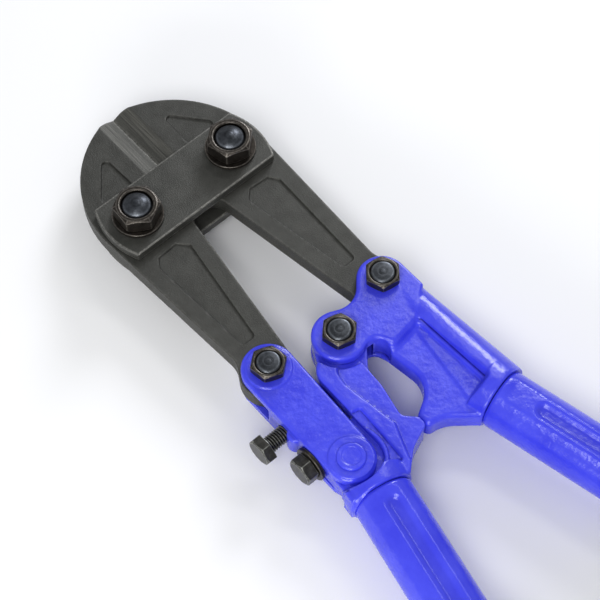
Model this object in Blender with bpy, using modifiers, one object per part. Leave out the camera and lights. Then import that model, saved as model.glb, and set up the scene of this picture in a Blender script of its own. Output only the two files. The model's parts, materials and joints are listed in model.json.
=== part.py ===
"""Compound-action bolt cutter, closed and lying flat: jaws toward +Y, handles toward -Y, +Z up.

The work is laid out about the centre pivot, on the middle plane of the jaws, and moved to the
middle of its own base at the end.
"""

import math

import bmesh
import bpy
from mathutils import Matrix, Vector

MM = 0.001

# Clearances.
GAP = 0.3 * MM
RUNNING_FIT = 0.08 * MM
SLOT_PLAY = 0.7 * MM
CENTRE_EYE_PLAY = 2.1 * MM
ADJUSTING_TRAVEL = 0.3 * MM

# Linkage: jaw pivots, jaw tail pivots, the arm pivot, with the centre pivot at zero.
JAW_PIVOT_X = 22.5 * MM
JAW_PIVOT_Y = 86.4 * MM
LINK_X = 27.5 * MM
LINK_Y = 7.0 * MM
ARM_PIVOT_X = -29.0 * MM
ARM_PIVOT_Y = -38.3 * MM

# Thicknesses, all centred on the middle plane.
JAW_THICKNESS = 7.0 * MM
PLATE_THICKNESS = 4.0 * MM
CHEEK_THICKNESS = 4.0 * MM
WEB_THICKNESS = 9.6 * MM
RAIL_THICKNESS = 14.0 * MM

# Jaws.
JAW_LENGTH_AHEAD = 130.6 * MM
JAW_HEAD_RADIUS = 43.0 * MM
JAW_EYE_RADIUS = 10.6 * MM
BEVEL_WIDTH = 7.3 * MM
EDGE_LAND = 0.4 * MM
POCKET_DEPTH = 0.5 * MM

# Link plates.
PLATE_LENGTH = 72.0 * MM
PLATE_WIDTH = 26.0 * MM
REAR_PLATE_WIDTH = 30.0 * MM
PLATE_END_SAGITTA = 3.0 * MM

# Fasteners.
JAW_BOLT_RADIUS = 5.75 * MM
JAW_NUT_FLATS = 16.0 * MM
JAW_NUT_HEIGHT = 7.4 * MM
JAW_HEAD_HEIGHT = 6.4 * MM
JAW_WASHER_RADIUS = 9.75 * MM
JAW_WASHER_THICKNESS = 1.6 * MM
LINK_BOLT_RADIUS = 4.5 * MM
LINK_NUT_FLATS = 12.0 * MM
LINK_NUT_HEIGHT = 4.3 * MM
RIVET_RADIUS = 4.0 * MM
RIVET_HEAD_RADIUS = 5.3 * MM
RIVET_HEAD_HEIGHT = 0.9 * MM
ADJUSTING_SCREW_RADIUS = 3.2 * MM
LOCK_SCREW_RADIUS = 2.5 * MM
SCREW_FLATS = 10.0 * MM
ADJUSTING_SCREW_Y = -13.2 * MM
ADJUSTING_SCREW_STANDOFF = 8.4 * MM
ADJUSTING_HEAD_HEIGHT = 4.0 * MM
LOCK_SCREW_Y = -28.4 * MM
LOCK_HEAD_HEIGHT = 4.6 * MM
LOCK_WASHER_RADIUS = 6.8 * MM
LOCK_WASHER_THICKNESS = 1.4 * MM

# Castings.
CENTRE_BOSS_RADIUS = 10.2 * MM
LINK_BOSS_RADIUS = 9.4 * MM
ARM_HEAD_RADIUS = 10.0 * MM
ARM_BOSS_RADIUS = 9.0 * MM
CENTRE_EYE_RADIUS = 9.9 * MM
ARM_WALL = 4.0 * MM
STOP_FACE_Y = -43.4 * MM

# Handles: each starts on its casting's collar and runs back and outward.
COLLAR_X = 28.4 * MM
COLLAR_Y = -53.6 * MM
SPLAY = math.radians(12.3)
COLLAR_RADIUS = 12.3 * MM
COLLAR_LENGTH = 7.0 * MM
TUBE_RADIUS = 11.25 * MM
TUBE_WALL = 1.5 * MM
TUBE_LENGTH = 164.0 * MM
TANG_RADIUS = 7.4 * MM
TANG_LENGTH = 62.0 * MM
FLUTE_START = 6.0 * MM
FLUTE_LENGTH = 46.0 * MM
FLUTE_DEPTH = 1.7 * MM
FLUTE_HALF_ANGLE = math.radians(20.0)
GRIP_LENGTH = 108.0 * MM
GRIP_WALL = 2.6 * MM
GRIP_END_WALL = 3.0 * MM
GRIP_FLARE = 1.4 * MM

# Heights that follow from the sizes above.
JAW_TOP = JAW_THICKNESS / 2
PLATE_LOW = JAW_TOP + GAP
PLATE_TOP = PLATE_LOW + PLATE_THICKNESS
CHEEK_LOW = JAW_TOP + GAP
CHEEK_TOP = CHEEK_LOW + CHEEK_THICKNESS
WASHER_LOW = PLATE_TOP + GAP
WASHER_TOP = WASHER_LOW + JAW_WASHER_THICKNESS
JAW_NUT_LOW = WASHER_TOP + GAP
JAW_NUT_TOP = JAW_NUT_LOW + JAW_NUT_HEIGHT
LINK_NUT_LOW = CHEEK_TOP + GAP
LINK_NUT_TOP = LINK_NUT_LOW + LINK_NUT_HEIGHT
HALF_GAP = GAP / 2

# Facets round a full turn.
ROUND_STEPS = 24
HANDLE_STEPS = 32


def clear_scene():
    for thing in list(bpy.data.objects):
        bpy.data.objects.remove(thing, do_unlink=True)


def new_collection(name):
    group = bpy.data.collections.new(name)
    bpy.context.scene.collection.children.link(group)
    return group


def new_material(name, colour, metallic, roughness):
    """A Principled BSDF material under the sub-part's own name."""
    made = bpy.data.materials.new(name)
    made.use_nodes = True
    shader = made.node_tree.nodes["Principled BSDF"]
    shader.inputs["Base Color"].default_value = (*colour, 1.0)
    shader.inputs["Metallic"].default_value = metallic
    shader.inputs["Roughness"].default_value = roughness
    return made


# Finishes: colour, metallic, roughness.
BLACK_OXIDE = ((0.055, 0.055, 0.05), 0.8, 0.45)
DARK_NUT = ((0.07, 0.06, 0.05), 0.85, 0.35)
BOLT_STEEL = ((0.09, 0.1, 0.11), 0.85, 0.3)
BLUE_PAINT = ((0.07, 0.08, 0.72), 0.0, 0.25)
BLACK_VINYL = ((0.02, 0.02, 0.022), 0.0, 0.55)


def signed_arc(centre, radius, start, end):
    """Points on a circle from heading start to heading end; a negative radius turns right."""
    turn = (end - start) % (2 * math.pi)
    if radius < 0:
        turn = -((start - end) % (2 * math.pi))
    steps = max(1, math.ceil(abs(turn) / math.radians(12.0)))
    return [
        (
            centre[0] + radius * math.sin(start + turn * k / steps),
            centre[1] - radius * math.cos(start + turn * k / steps),
        )
        for k in range(steps + 1)
    ]


def belt(circles):
    """The outline of a belt laid counter-clockwise round circles (x, y, radius).

    A negative radius is a hollow that the belt passes on the outside, and a zero radius is a corner.
    """
    headings = []
    for here, there in zip(circles, circles[1:] + circles[:1]):
        span = math.dist(here[:2], there[:2])
        lean = max(-1.0, min(1.0, (there[2] - here[2]) / span))
        headings.append(math.atan2(there[1] - here[1], there[0] - here[0]) - math.asin(lean))
    outline = []
    for k, (x, y, radius) in enumerate(circles):
        if radius == 0:
            outline.append((x, y))
            continue
        outline.extend(signed_arc((x, y), radius, headings[k - 1], headings[k]))
    return outline


def mirrored(circles, side):
    """The same belt circles on the right (side 1) or the left (side -1)."""
    if side > 0:
        return list(circles)
    return [(-x, y, radius) for x, y, radius in reversed(circles)]


def hollow_between(first, second, radius):
    """The belt circle of a hollow that touches two bosses, on the left of the way between them."""
    reach_a = first[2] + radius
    reach_b = second[2] + radius
    span = math.dist(first[:2], second[:2])
    along = (reach_a**2 - reach_b**2 + span**2) / (2 * span)
    aside = math.sqrt(reach_a**2 - along**2)
    ux = (second[0] - first[0]) / span
    uy = (second[1] - first[1]) / span
    return (first[0] + ux * along - uy * aside, first[1] + uy * along + ux * aside, -radius)


def mesh_from(thing):
    """The evaluated mesh of an object, with its placing carried into the points."""
    depsgraph = bpy.context.evaluated_depsgraph_get()
    mesh = bpy.data.meshes.new_from_object(thing.evaluated_get(depsgraph))
    mesh.transform(thing.matrix_world)
    work = bmesh.new()
    work.from_mesh(mesh)
    bmesh.ops.remove_doubles(work, verts=work.verts, dist=0.000002)
    bmesh.ops.dissolve_limit(work, angle_limit=0.002, verts=work.verts, edges=work.edges)
    bmesh.ops.recalc_face_normals(work, faces=work.faces)
    work.to_mesh(mesh)
    work.free()
    mesh.materials.clear()
    return mesh


def feature(name, mesh, place=None):
    """A helper solid in the cutters collection: hidden, drawn as wire."""
    if place is not None:
        mesh.transform(place)
    thing = bpy.data.objects.new(name, mesh)
    CUTTERS.objects.link(thing)
    thing.hide_render = True
    thing.display_type = "WIRE"
    return thing


def add_bevel(thing, width, segments=2, limit=50.0):
    rounding = thing.modifiers.new("edge rounding", "BEVEL")
    rounding.width = width
    rounding.segments = segments
    rounding.limit_method = "ANGLE"
    rounding.angle_limit = math.radians(limit)
    rounding.use_clamp_overlap = True


def prism(name, outlines, low, high, edge=0.0, place=None):
    """A flat solid between two heights from closed outlines, with rounded rims if edge is given."""
    curve = bpy.data.curves.new(name, "CURVE")
    curve.dimensions = "2D"
    curve.fill_mode = "BOTH"
    curve.extrude = (high - low) / 2
    for outline in outlines:
        spline = curve.splines.new("POLY")
        spline.points.add(len(outline) - 1)
        for point, (x, y) in zip(spline.points, outline):
            point.co = (x, y, 0.0, 1.0)
        spline.use_cyclic_u = True
    drawn = bpy.data.objects.new(name + " outline", curve)
    CUTTERS.objects.link(drawn)
    drawn.location.z = (low + high) / 2
    bpy.context.view_layer.update()
    mesh = mesh_from(drawn)
    bpy.data.objects.remove(drawn, do_unlink=True)
    made = feature(name, mesh, place)
    if edge > 0:
        add_bevel(made, edge)
    return made


def lathe(name, profile, place=None, steps=ROUND_STEPS):
    """A solid of revolution about Z from (radius, height) points, listed from top to bottom."""
    mesh = bpy.data.meshes.new(name)
    points = [(radius, 0.0, height) for radius, height in profile]
    mesh.from_pydata(points, [(k, k + 1) for k in range(len(points) - 1)], [])
    turned = bpy.data.objects.new(name + " profile", mesh)
    CUTTERS.objects.link(turned)
    screw = turned.modifiers.new("turn", "SCREW")
    screw.axis = "Z"
    screw.steps = steps
    screw.render_steps = steps
    screw.use_merge_vertices = True
    screw.merge_threshold = 0.00001
    screw.use_normal_calculate = True
    bpy.context.view_layer.update()
    solid = mesh_from(turned)
    bpy.data.objects.remove(turned, do_unlink=True)
    return feature(name, solid, place)


def rod(name, radius, low, high, place=None, steps=ROUND_STEPS):
    return lathe(name, [(0.0, high), (radius, high), (radius, low), (0.0, low)], place, steps)


def loft(name, rings, place=None):
    """A closed skin over rings of equal length; the last ring joins the first."""
    work = bmesh.new()
    rows = [[work.verts.new(point) for point in ring] for ring in rings]
    for row, after in zip(rows, rows[1:] + rows[:1]):
        for k in range(len(row)):
            other = (k + 1) % len(row)
            work.faces.new((row[k], row[other], after[other], after[k]))
    bmesh.ops.recalc_face_normals(work, faces=work.faces)
    mesh = bpy.data.meshes.new(name)
    work.to_mesh(mesh)
    work.free()
    return feature(name, mesh, place)


def add_boolean(thing, other, operation):
    step = thing.modifiers.new(operation.lower() + " " + other.name, "BOOLEAN")
    step.operation = operation
    step.solver = "EXACT"
    step.object = other


def finish_node(thing, name, finish, origin, joins=(), cuts=(), smooth=35.0):
    """Turns a feature into a named sub-part: joins, cuts, material, origin, shading."""
    for other in joins:
        add_boolean(thing, other, "UNION")
    for other in cuts:
        add_boolean(thing, other, "DIFFERENCE")
    thing.name = name
    CUTTERS.objects.unlink(thing)
    PARTS.objects.link(thing)
    thing.hide_render = False
    thing.display_type = "TEXTURED"
    thing.data.name = name
    thing.data.materials.append(new_material(name, *finish))
    thing.data.transform(Matrix.Translation(-Vector(origin)))
    thing.location = origin
    thing.data.shade_smooth()
    thing.data.set_sharp_from_angle(angle=math.radians(smooth))
    return thing


def at(x, y, z=0.0):
    return Matrix.Translation((x, y, z))


def pivot_bore(name, x, y, radius):
    """A through cutter for a pivot bolt or pin."""
    return rod(name, radius + RUNNING_FIT, -30 * MM, 30 * MM, at(x, y))


# ---------------------------------------------------------------- jaws and link plates


def jaw_outline(side):
    """Blunt round head, straight biting face, relieved heel, arch, tapered tail, round eye."""
    eye = (LINK_X, LINK_Y, JAW_EYE_RADIUS)
    neck = (LINK_X + 15.1 * MM, LINK_Y + 12.9 * MM, -9.0 * MM)
    head = (-6.0 * MM, JAW_PIVOT_Y + 2.4 * MM, JAW_HEAD_RADIUS)
    nose = (3.0 * MM, JAW_LENGTH_AHEAD - 11.3 * MM, 11.3 * MM)
    tip = (HALF_GAP, JAW_LENGTH_AHEAD, 0.0)
    heel = (HALF_GAP, JAW_PIVOT_Y + 0.6 * MM, 0.0)
    relief = (1.4 * MM, JAW_PIVOT_Y - 8.9 * MM, 0.0)
    arch = (relief[0], relief[1] - 5.9 * MM, -5.9 * MM)
    return belt(mirrored([eye, neck, head, nose, tip, heel, relief, arch], side))


def bite_cutter(name, side, face):
    """The wedge taken off one face of a jaw to leave its two-stage cutting bevel."""
    land = EDGE_LAND / 2
    break_x = 0.4 * BEVEL_WIDTH
    break_z = land + 0.4 * (JAW_TOP - land)
    rise = (JAW_TOP - break_z) / (BEVEL_WIDTH - break_x)
    over = 1.0 * MM
    points = [
        (-2 * MM, land),
        (HALF_GAP, land),
        (break_x, break_z),
        (BEVEL_WIDTH + over, JAW_TOP + over * rise),
        (BEVEL_WIDTH + over, JAW_TOP + 2 * over),
        (-2 * MM, JAW_TOP + 2 * over),
    ]
    section = [(side * x, face * z) for x, z in points]
    turn = Matrix.Rotation(math.pi / 2, 4, "X")
    back = JAW_PIVOT_Y + 7.0 * MM
    return prism(name, [section], -JAW_LENGTH_AHEAD - 5 * MM, -back, place=turn)


def head_pocket(name, side, face):
    """The shallow three-cornered recess between the bevel and the link plate."""
    circles = [
        (25.4 * MM, 103.2 * MM, 1.4 * MM),
        (16.0 * MM, 114.3 * MM, 1.7 * MM),
        (15.4 * MM, 101.6 * MM, 1.4 * MM),
    ]
    low = JAW_TOP - POCKET_DEPTH
    high = JAW_TOP + 1 * MM
    if face < 0:
        low, high = -high, -low
    return prism(name, [belt(mirrored(circles, side))], low, high)


def tail_pocket(name, side, face):
    """The long tapered recess in a jaw's tail."""
    circles = [
        (25.7 * MM, 23.0 * MM, 1.5 * MM),
        (27.4 * MM, 67.4 * MM, 2.3 * MM),
        (16.9 * MM, 67.4 * MM, 2.3 * MM),
        (23.0 * MM, 23.0 * MM, 1.5 * MM),
    ]
    low = JAW_TOP - POCKET_DEPTH
    high = JAW_TOP + 1 * MM
    if face < 0:
        low, high = -high, -low
    return prism(name, [belt(mirrored(circles, side))], low, high)


def build_jaw(name, side):
    body = prism(name + " body", [jaw_outline(side)], -JAW_TOP, JAW_TOP, 0.5 * MM)
    cuts = [
        pivot_bore(name + " pivot bore", side * JAW_PIVOT_X, JAW_PIVOT_Y, JAW_BOLT_RADIUS),
        pivot_bore(name + " tail bore", side * LINK_X, LINK_Y, LINK_BOLT_RADIUS),
    ]
    for face, word in ((1, " front"), (-1, " back")):
        cuts.append(bite_cutter(name + word + " bite", side, face))
        cuts.append(head_pocket(name + word + " head pocket", side, face))
        cuts.append(tail_pocket(name + word + " tail pocket", side, face))
    origin = (side * JAW_PIVOT_X, JAW_PIVOT_Y, 0.0)
    return finish_node(body, name, BLACK_OXIDE, origin, cuts=cuts)


def plate_outline(width):
    """A bar across the jaw pivots with gently arched ends."""
    half = width / 2
    radius = (half**2 + PLATE_END_SAGITTA**2) / (2 * PLATE_END_SAGITTA)
    spread = math.asin(half / radius)
    middle = PLATE_LENGTH / 2 - radius
    steps = 12
    end = [-spread + 2 * spread * k / steps for k in range(steps + 1)]
    right = [(middle + radius * math.cos(a), JAW_PIVOT_Y + radius * math.sin(a)) for a in end]
    left = [(-x, 2 * JAW_PIVOT_Y - y) for x, y in right]
    return right + left


def build_plate(name, width, low, high):
    body = prism(name + " body", [plate_outline(width)], low, high, 0.6 * MM)
    cuts = [
        pivot_bore(name + " right bore", JAW_PIVOT_X, JAW_PIVOT_Y, JAW_BOLT_RADIUS + GAP / 2),
        pivot_bore(name + " left bore", -JAW_PIVOT_X, JAW_PIVOT_Y, JAW_BOLT_RADIUS + GAP / 2),
    ]
    return finish_node(body, name, BLACK_OXIDE, (0.0, JAW_PIVOT_Y, 0.0), cuts=cuts)


# ---------------------------------------------------------------- fasteners


def hexagon(name, flats, low, high, place, chamfer_low=False):
    """A hexagonal prism with its corners turned off at the top, and at the bottom if asked."""
    corner = flats / math.sqrt(3)
    mesh = bpy.data.meshes.new(name)
    work = bmesh.new()
    bmesh.ops.create_cone(
        work, cap_ends=True, segments=6, radius1=corner, radius2=corner, depth=high - low
    )
    work.to_mesh(mesh)
    work.free()
    mesh.transform(Matrix.Translation((0, 0, (low + high) / 2)))
    body = feature(name, mesh, place)
    wide = corner * 1.1
    flat = flats / 2 * 0.97
    slope = (wide - flat) * math.tan(math.radians(30.0))
    profile = [(0.0, high), (flat, high), (wide, high - slope)]
    if chamfer_low:
        profile += [(wide, low + slope), (flat, low), (0.0, low)]
    else:
        profile += [(wide, low - 1 * MM), (0.0, low - 1 * MM)]
    turned = lathe(name + " turned corners", profile, place)
    add_boolean(body, turned, "INTERSECT")
    return body


def build_nut(name, x, y, flats, radius, low, high, finish=DARK_NUT):
    body = hexagon(name, flats, low, high, at(x, y), chamfer_low=True)
    bore = rod(name + " bore", radius + GAP / 2, low - 5 * MM, high + 5 * MM, at(x, y))
    return finish_node(body, name, finish, (x, y, 0.0), cuts=[bore], smooth=25.0)


def build_bolt(name, x, y, radius, head_top, head_height, tip, flats):
    """A pivot bolt put in from behind: hexagon head below, slightly domed end above."""
    rim = 0.12 * radius
    profile = [
        (0.0, tip),
        (radius * 0.55, tip - 0.25 * rim),
        (radius - rim, tip - rim),
        (radius, tip - 2 * rim),
        (radius, head_top - head_height / 2),
        (0.0, head_top - head_height / 2),
    ]
    shank = lathe(name + " shank", profile, at(x, y))
    flip = at(x, y) @ Matrix.Rotation(math.pi, 4, "X")
    head = hexagon(name + " head", flats, -head_top, -head_top + head_height, flip)
    return finish_node(shank, name, BOLT_STEEL, (x, y, 0.0), joins=[head], smooth=25.0)


def build_washer(name, place, origin, outer, inner, low, high):
    edge = 0.2 * (high - low)
    profile = [
        (inner, high),
        (outer - edge, high),
        (outer, high - edge),
        (outer, low),
        (inner, low),
        (inner, high),
    ]
    return finish_node(lathe(name, profile, place), name, DARK_NUT, origin)


def build_jaw_fasteners(word, side):
    x = side * JAW_PIVOT_X
    y = JAW_PIVOT_Y
    tip = JAW_NUT_TOP + 0.5 * MM
    head_top = -PLATE_TOP - GAP
    build_bolt(word + "_jaw_bolt", x, y, JAW_BOLT_RADIUS, head_top, JAW_HEAD_HEIGHT, tip, JAW_NUT_FLATS)
    build_washer(
        word + "_jaw_washer",
        at(x, y),
        (x, y, 0.0),
        JAW_WASHER_RADIUS,
        JAW_BOLT_RADIUS + GAP / 2,
        WASHER_LOW,
        WASHER_TOP,
    )
    build_nut(word + "_jaw_nut", x, y, JAW_NUT_FLATS, JAW_BOLT_RADIUS, JAW_NUT_LOW, JAW_NUT_TOP)


def build_link_fasteners(word, x, y):
    """The bolt and nut of one of the three rear pivots."""
    tip = LINK_NUT_TOP + 0.3 * MM
    head_top = -CHEEK_TOP - GAP
    build_bolt(word + "_bolt", x, y, LINK_BOLT_RADIUS, head_top, LINK_NUT_HEIGHT, tip, LINK_NUT_FLATS)
    build_nut(word + "_nut", x, y, LINK_NUT_FLATS, LINK_BOLT_RADIUS, LINK_NUT_LOW, LINK_NUT_TOP)


def sideways(y):
    """Turns +Z to -X, on the line of a side screw at the height y."""
    return at(0.0, y) @ Matrix.Rotation(-math.pi / 2, 4, "Y")


def arm_edge_x(y):
    """The outer edge of the adjusting arm at a given y."""
    top = -LINK_X - ARM_HEAD_RADIUS
    bottom = ARM_PIVOT_X - ARM_BOSS_RADIUS
    return top + (bottom - top) * (LINK_Y - y) / (LINK_Y - ARM_PIVOT_Y)


def rail_edge_x():
    """The side of the left casting's rail that faces the adjusting arm."""
    return -LINK_X + ARM_HEAD_RADIUS + 0.6 * MM


def lock_screw_end_x():
    """Where the lock screw stops, inside the left casting's web."""
    return ARM_PIVOT_X


def build_side_screw(name, y, radius, start, head_low, head_height):
    """A hexagon-headed screw pointing inward from the arm's outer side."""
    place = sideways(y)
    end = -start
    profile = [
        (0.0, head_low + 0.5 * MM),
        (radius, head_low + 0.5 * MM),
        (radius, end + 0.8 * MM),
        (radius - 0.8 * MM, end),
        (0.0, end),
    ]
    shank = lathe(name + " shank", profile, place)
    head = hexagon(name + " head", SCREW_FLATS, head_low, head_low + head_height, place)
    origin = (-head_low, y, 0.0)
    return finish_node(shank, name, BOLT_STEEL, origin, joins=[head], smooth=25.0)


# ---------------------------------------------------------------- castings


def handle_frame(side):
    """Placing with its origin at a collar and +Z down that handle."""
    return at(side * COLLAR_X, COLLAR_Y) @ Matrix.Rotation(side * SPLAY, 4, "Z") @ Matrix.Rotation(
        math.pi / 2, 4, "X"
    )


def collar(name, side):
    """Collar that the tube butts on, with the tang that fills the tube behind it."""
    lip = 0.9 * MM
    profile = [
        (0.0, TANG_LENGTH),
        (TANG_RADIUS - 1 * MM, TANG_LENGTH),
        (TANG_RADIUS, TANG_LENGTH - 1 * MM),
        (TANG_RADIUS, 0.0),
        (COLLAR_RADIUS - lip, 0.0),
        (COLLAR_RADIUS, -lip),
        (COLLAR_RADIUS, lip - COLLAR_LENGTH),
        (COLLAR_RADIUS - lip, -COLLAR_LENGTH),
        (0.0, -COLLAR_LENGTH),
    ]
    return lathe(name, profile, handle_frame(side), HANDLE_STEPS)


def barrel(name, start, start_radius, end, end_radius):
    """A round taper between two points on the middle plane."""
    line = Vector(end) - Vector(start)
    place = at(*start) @ line.to_track_quat("Z", "Y").to_matrix().to_4x4()
    length = line.length
    profile = [(0.0, length), (end_radius, length), (start_radius, 0.0), (0.0, 0.0)]
    return lathe(name, profile, place, HANDLE_STEPS)


def slot_disc(name, x, y, radius, half):
    return rod(name, radius, -half, half, at(x, y))


def right_head_outline():
    """Cheek outline: centre boss, arch, stepped rear edge, link boss, hollow notch."""
    centre = (0.0, 0.0, CENTRE_BOSS_RADIUS)
    link = (LINK_X, LINK_Y, LINK_BOSS_RADIUS)
    notch = hollow_between(centre, link, 10.0 * MM)
    arch = (6.5 * MM, -13.5 * MM, -4.7 * MM)
    rear = (13.8 * MM, -13.6 * MM, 1.6 * MM)
    bulge = (23.5 * MM, -10.3 * MM, 3.0 * MM)
    corner = (LINK_X + 7.8 * MM, -3.5 * MM, 1.4 * MM)
    return belt([link, notch, centre, arch, rear, bulge, corner])


def right_web_outline():
    """Web with the finger hollow and the stop foot that meets the other handle."""
    foot = 2.3 * MM
    return belt(
        [
            (32 * MM, -8 * MM, 0.0),
            (9.0 * MM, -10 * MM, 0.0),
            (0.2 * MM, -28.2 * MM, -11.0 * MM),
            (foot + HALF_GAP, STOP_FACE_Y + 1.2 * MM, foot),
            (foot + HALF_GAP, STOP_FACE_Y - 1.2 * MM, foot),
            (13.8 * MM, -51.6 * MM, 2.0 * MM),
            (17 * MM, -55.4 * MM, 0.0),
            (34 * MM, -50 * MM, 0.0),
        ]
    )


def web_pocket(name, face):
    """The recess that leaves the web thin between the head step, the ridge and the collar."""
    circles = [
        (25.6 * MM, -47.0 * MM, 1.2 * MM),
        (25.2 * MM, -15.6 * MM, 1.2 * MM),
        (15.5 * MM, -18.0 * MM, 1.2 * MM),
        (-6 * MM, -19 * MM, 0.0),
        (-6 * MM, -50 * MM, 0.0),
        (14 * MM, -49.5 * MM, 1.2 * MM),
    ]
    low = WEB_THICKNESS / 2
    high = 20 * MM
    if face < 0:
        low, high = -high, -low
    return prism(name, [belt(circles)], low, high)


def build_right_casting():
    name = "right_handle_casting"
    head = prism(name + " head", [right_head_outline()], -CHEEK_TOP, CHEEK_TOP, 1.0 * MM)
    half = WEB_THICKNESS / 2
    web = prism(name + " web", [right_web_outline()], -half, half, 1.2 * MM)
    rise = barrel(
        name + " barrel",
        (30.4 * MM, -5 * MM, 0.0),
        7.4 * MM,
        (COLLAR_X - 0.4 * MM, COLLAR_Y + 3.4 * MM, 0.0),
        COLLAR_RADIUS - 0.4 * MM,
    )
    add_boolean(rise, web_pocket(name + " front pocket", 1), "DIFFERENCE")
    add_boolean(rise, web_pocket(name + " back pocket", -1), "DIFFERENCE")
    joins = [web, rise, collar(name + " collar", 1)]
    slot = CHEEK_LOW
    eye_play = CENTRE_EYE_PLAY + GAP
    cuts = [
        slot_disc(name + " jaw slot", LINK_X, LINK_Y, JAW_EYE_RADIUS + SLOT_PLAY, slot),
        slot_disc(name + " eye slot", 0.0, 0.0, CENTRE_EYE_RADIUS + eye_play, slot),
        pivot_bore(name + " link bore", LINK_X, LINK_Y, LINK_BOLT_RADIUS + GAP / 2),
        pivot_bore(name + " centre bore", 0.0, 0.0, LINK_BOLT_RADIUS + GAP / 2),
    ]
    origin = (LINK_X, LINK_Y, 0.0)
    return finish_node(head, name, BLUE_PAINT, origin, joins, cuts)


def left_rail_outline():
    """Rail from the eye down past the arm boss, with the stop bump, to the collar."""
    bump = 2.3 * MM
    rail = rail_edge_x()
    shoulder = 8.6 * MM
    return belt(
        [
            (-17.2 * MM, -55.1 * MM, 0.0),
            (-5.0 * MM, -56.2 * MM, -9.7 * MM),
            (-bump - HALF_GAP, STOP_FACE_Y - 0.6 * MM, bump),
            (-bump - HALF_GAP, STOP_FACE_Y + 0.6 * MM, bump),
            (-0.2 * MM, -36.4 * MM, -3.0 * MM),
            (0.2 * MM, -9.5 * MM, 0.0),
            (rail + shoulder, -9.0 * MM, shoulder),
            (ARM_PIVOT_X, ARM_PIVOT_Y, -ARM_BOSS_RADIUS - 2.4 * MM),
            (-38.8 * MM, -46.6 * MM, 0.0),
            (-39.1 * MM, -50.2 * MM, 0.0),
        ]
    )


def left_neck_outline():
    """Thin neck inside the clevis, joining the eye to the rail."""
    return belt(
        [
            (0.0, 0.0, CENTRE_EYE_RADIUS),
            (-8.4 * MM, -12 * MM, 8.0 * MM),
            (-6 * MM, -22 * MM, 3.0 * MM),
            (0.4 * MM, -15 * MM, 0.0),
        ]
    )


def left_web_outline():
    """Thin web between the arm's cheeks, round the arm pivot and the lock screw."""
    lock_boss = 1.6 * LOCK_SCREW_RADIUS
    return belt(
        [
            (-37.2 * MM + lock_boss, LOCK_SCREW_Y, lock_boss),
            (-37.2 * MM, -45 * MM, 1.0 * MM),
            (-38.0 * MM, -51 * MM, 0.0),
            (-18 * MM, -51 * MM, 0.0),
            (-14 * MM, LOCK_SCREW_Y + lock_boss / 2, 0.0),
        ]
    )


def build_left_casting():
    name = "left_handle_casting"
    half = RAIL_THICKNESS / 2
    rail = prism(name + " rail", [left_rail_outline()], -half, half, 1.0 * MM)
    neck = prism(name + " neck", [left_neck_outline()], -JAW_TOP, JAW_TOP, 0.4 * MM)
    web = prism(name + " web", [left_web_outline()], -JAW_TOP, JAW_TOP)
    taper = barrel(
        name + " shoulder",
        (-27.6 * MM, -43.0 * MM, 0.0),
        COLLAR_RADIUS - 4.4 * MM,
        (-COLLAR_X + 0.4 * MM, COLLAR_Y + 3.4 * MM, 0.0),
        COLLAR_RADIUS - 0.4 * MM,
    )
    joins = [web, taper, collar(name + " collar", -1), neck]
    boss_reach = CENTRE_BOSS_RADIUS + CENTRE_EYE_PLAY + GAP
    front = rod(name + " front sweep", boss_reach, JAW_TOP, 20 * MM, at(0.0, 0.0))
    back = rod(name + " back sweep", boss_reach, -20 * MM, -JAW_TOP, at(0.0, 0.0))
    arm_reach = ARM_BOSS_RADIUS + 2.0 * MM
    arm_front = rod(name + " arm front", arm_reach, JAW_TOP, 20 * MM, at(ARM_PIVOT_X, ARM_PIVOT_Y))
    arm_back = rod(name + " arm back", arm_reach, -20 * MM, -JAW_TOP, at(ARM_PIVOT_X, ARM_PIVOT_Y))
    screw_hole = rod(
        name + " lock hole",
        LOCK_SCREW_RADIUS + GAP / 2,
        -lock_screw_end_x() - 0.6 * MM,
        45 * MM,
        sideways(LOCK_SCREW_Y),
    )
    cuts = [
        front,
        back,
        arm_front,
        arm_back,
        screw_hole,
        pivot_bore(name + " eye bore", 0.0, 0.0, LINK_BOLT_RADIUS + CENTRE_EYE_PLAY),
        pivot_bore(name + " arm bore", ARM_PIVOT_X, ARM_PIVOT_Y, RIVET_RADIUS),
    ]
    origin = (ARM_PIVOT_X, ARM_PIVOT_Y, 0.0)
    return finish_node(rail, name, BLUE_PAINT, origin, joins, cuts)


def arm_outline():
    head = (-LINK_X, LINK_Y, ARM_HEAD_RADIUS)
    boss = (ARM_PIVOT_X, ARM_PIVOT_Y, ARM_BOSS_RADIUS)
    return belt([head, boss])


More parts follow.
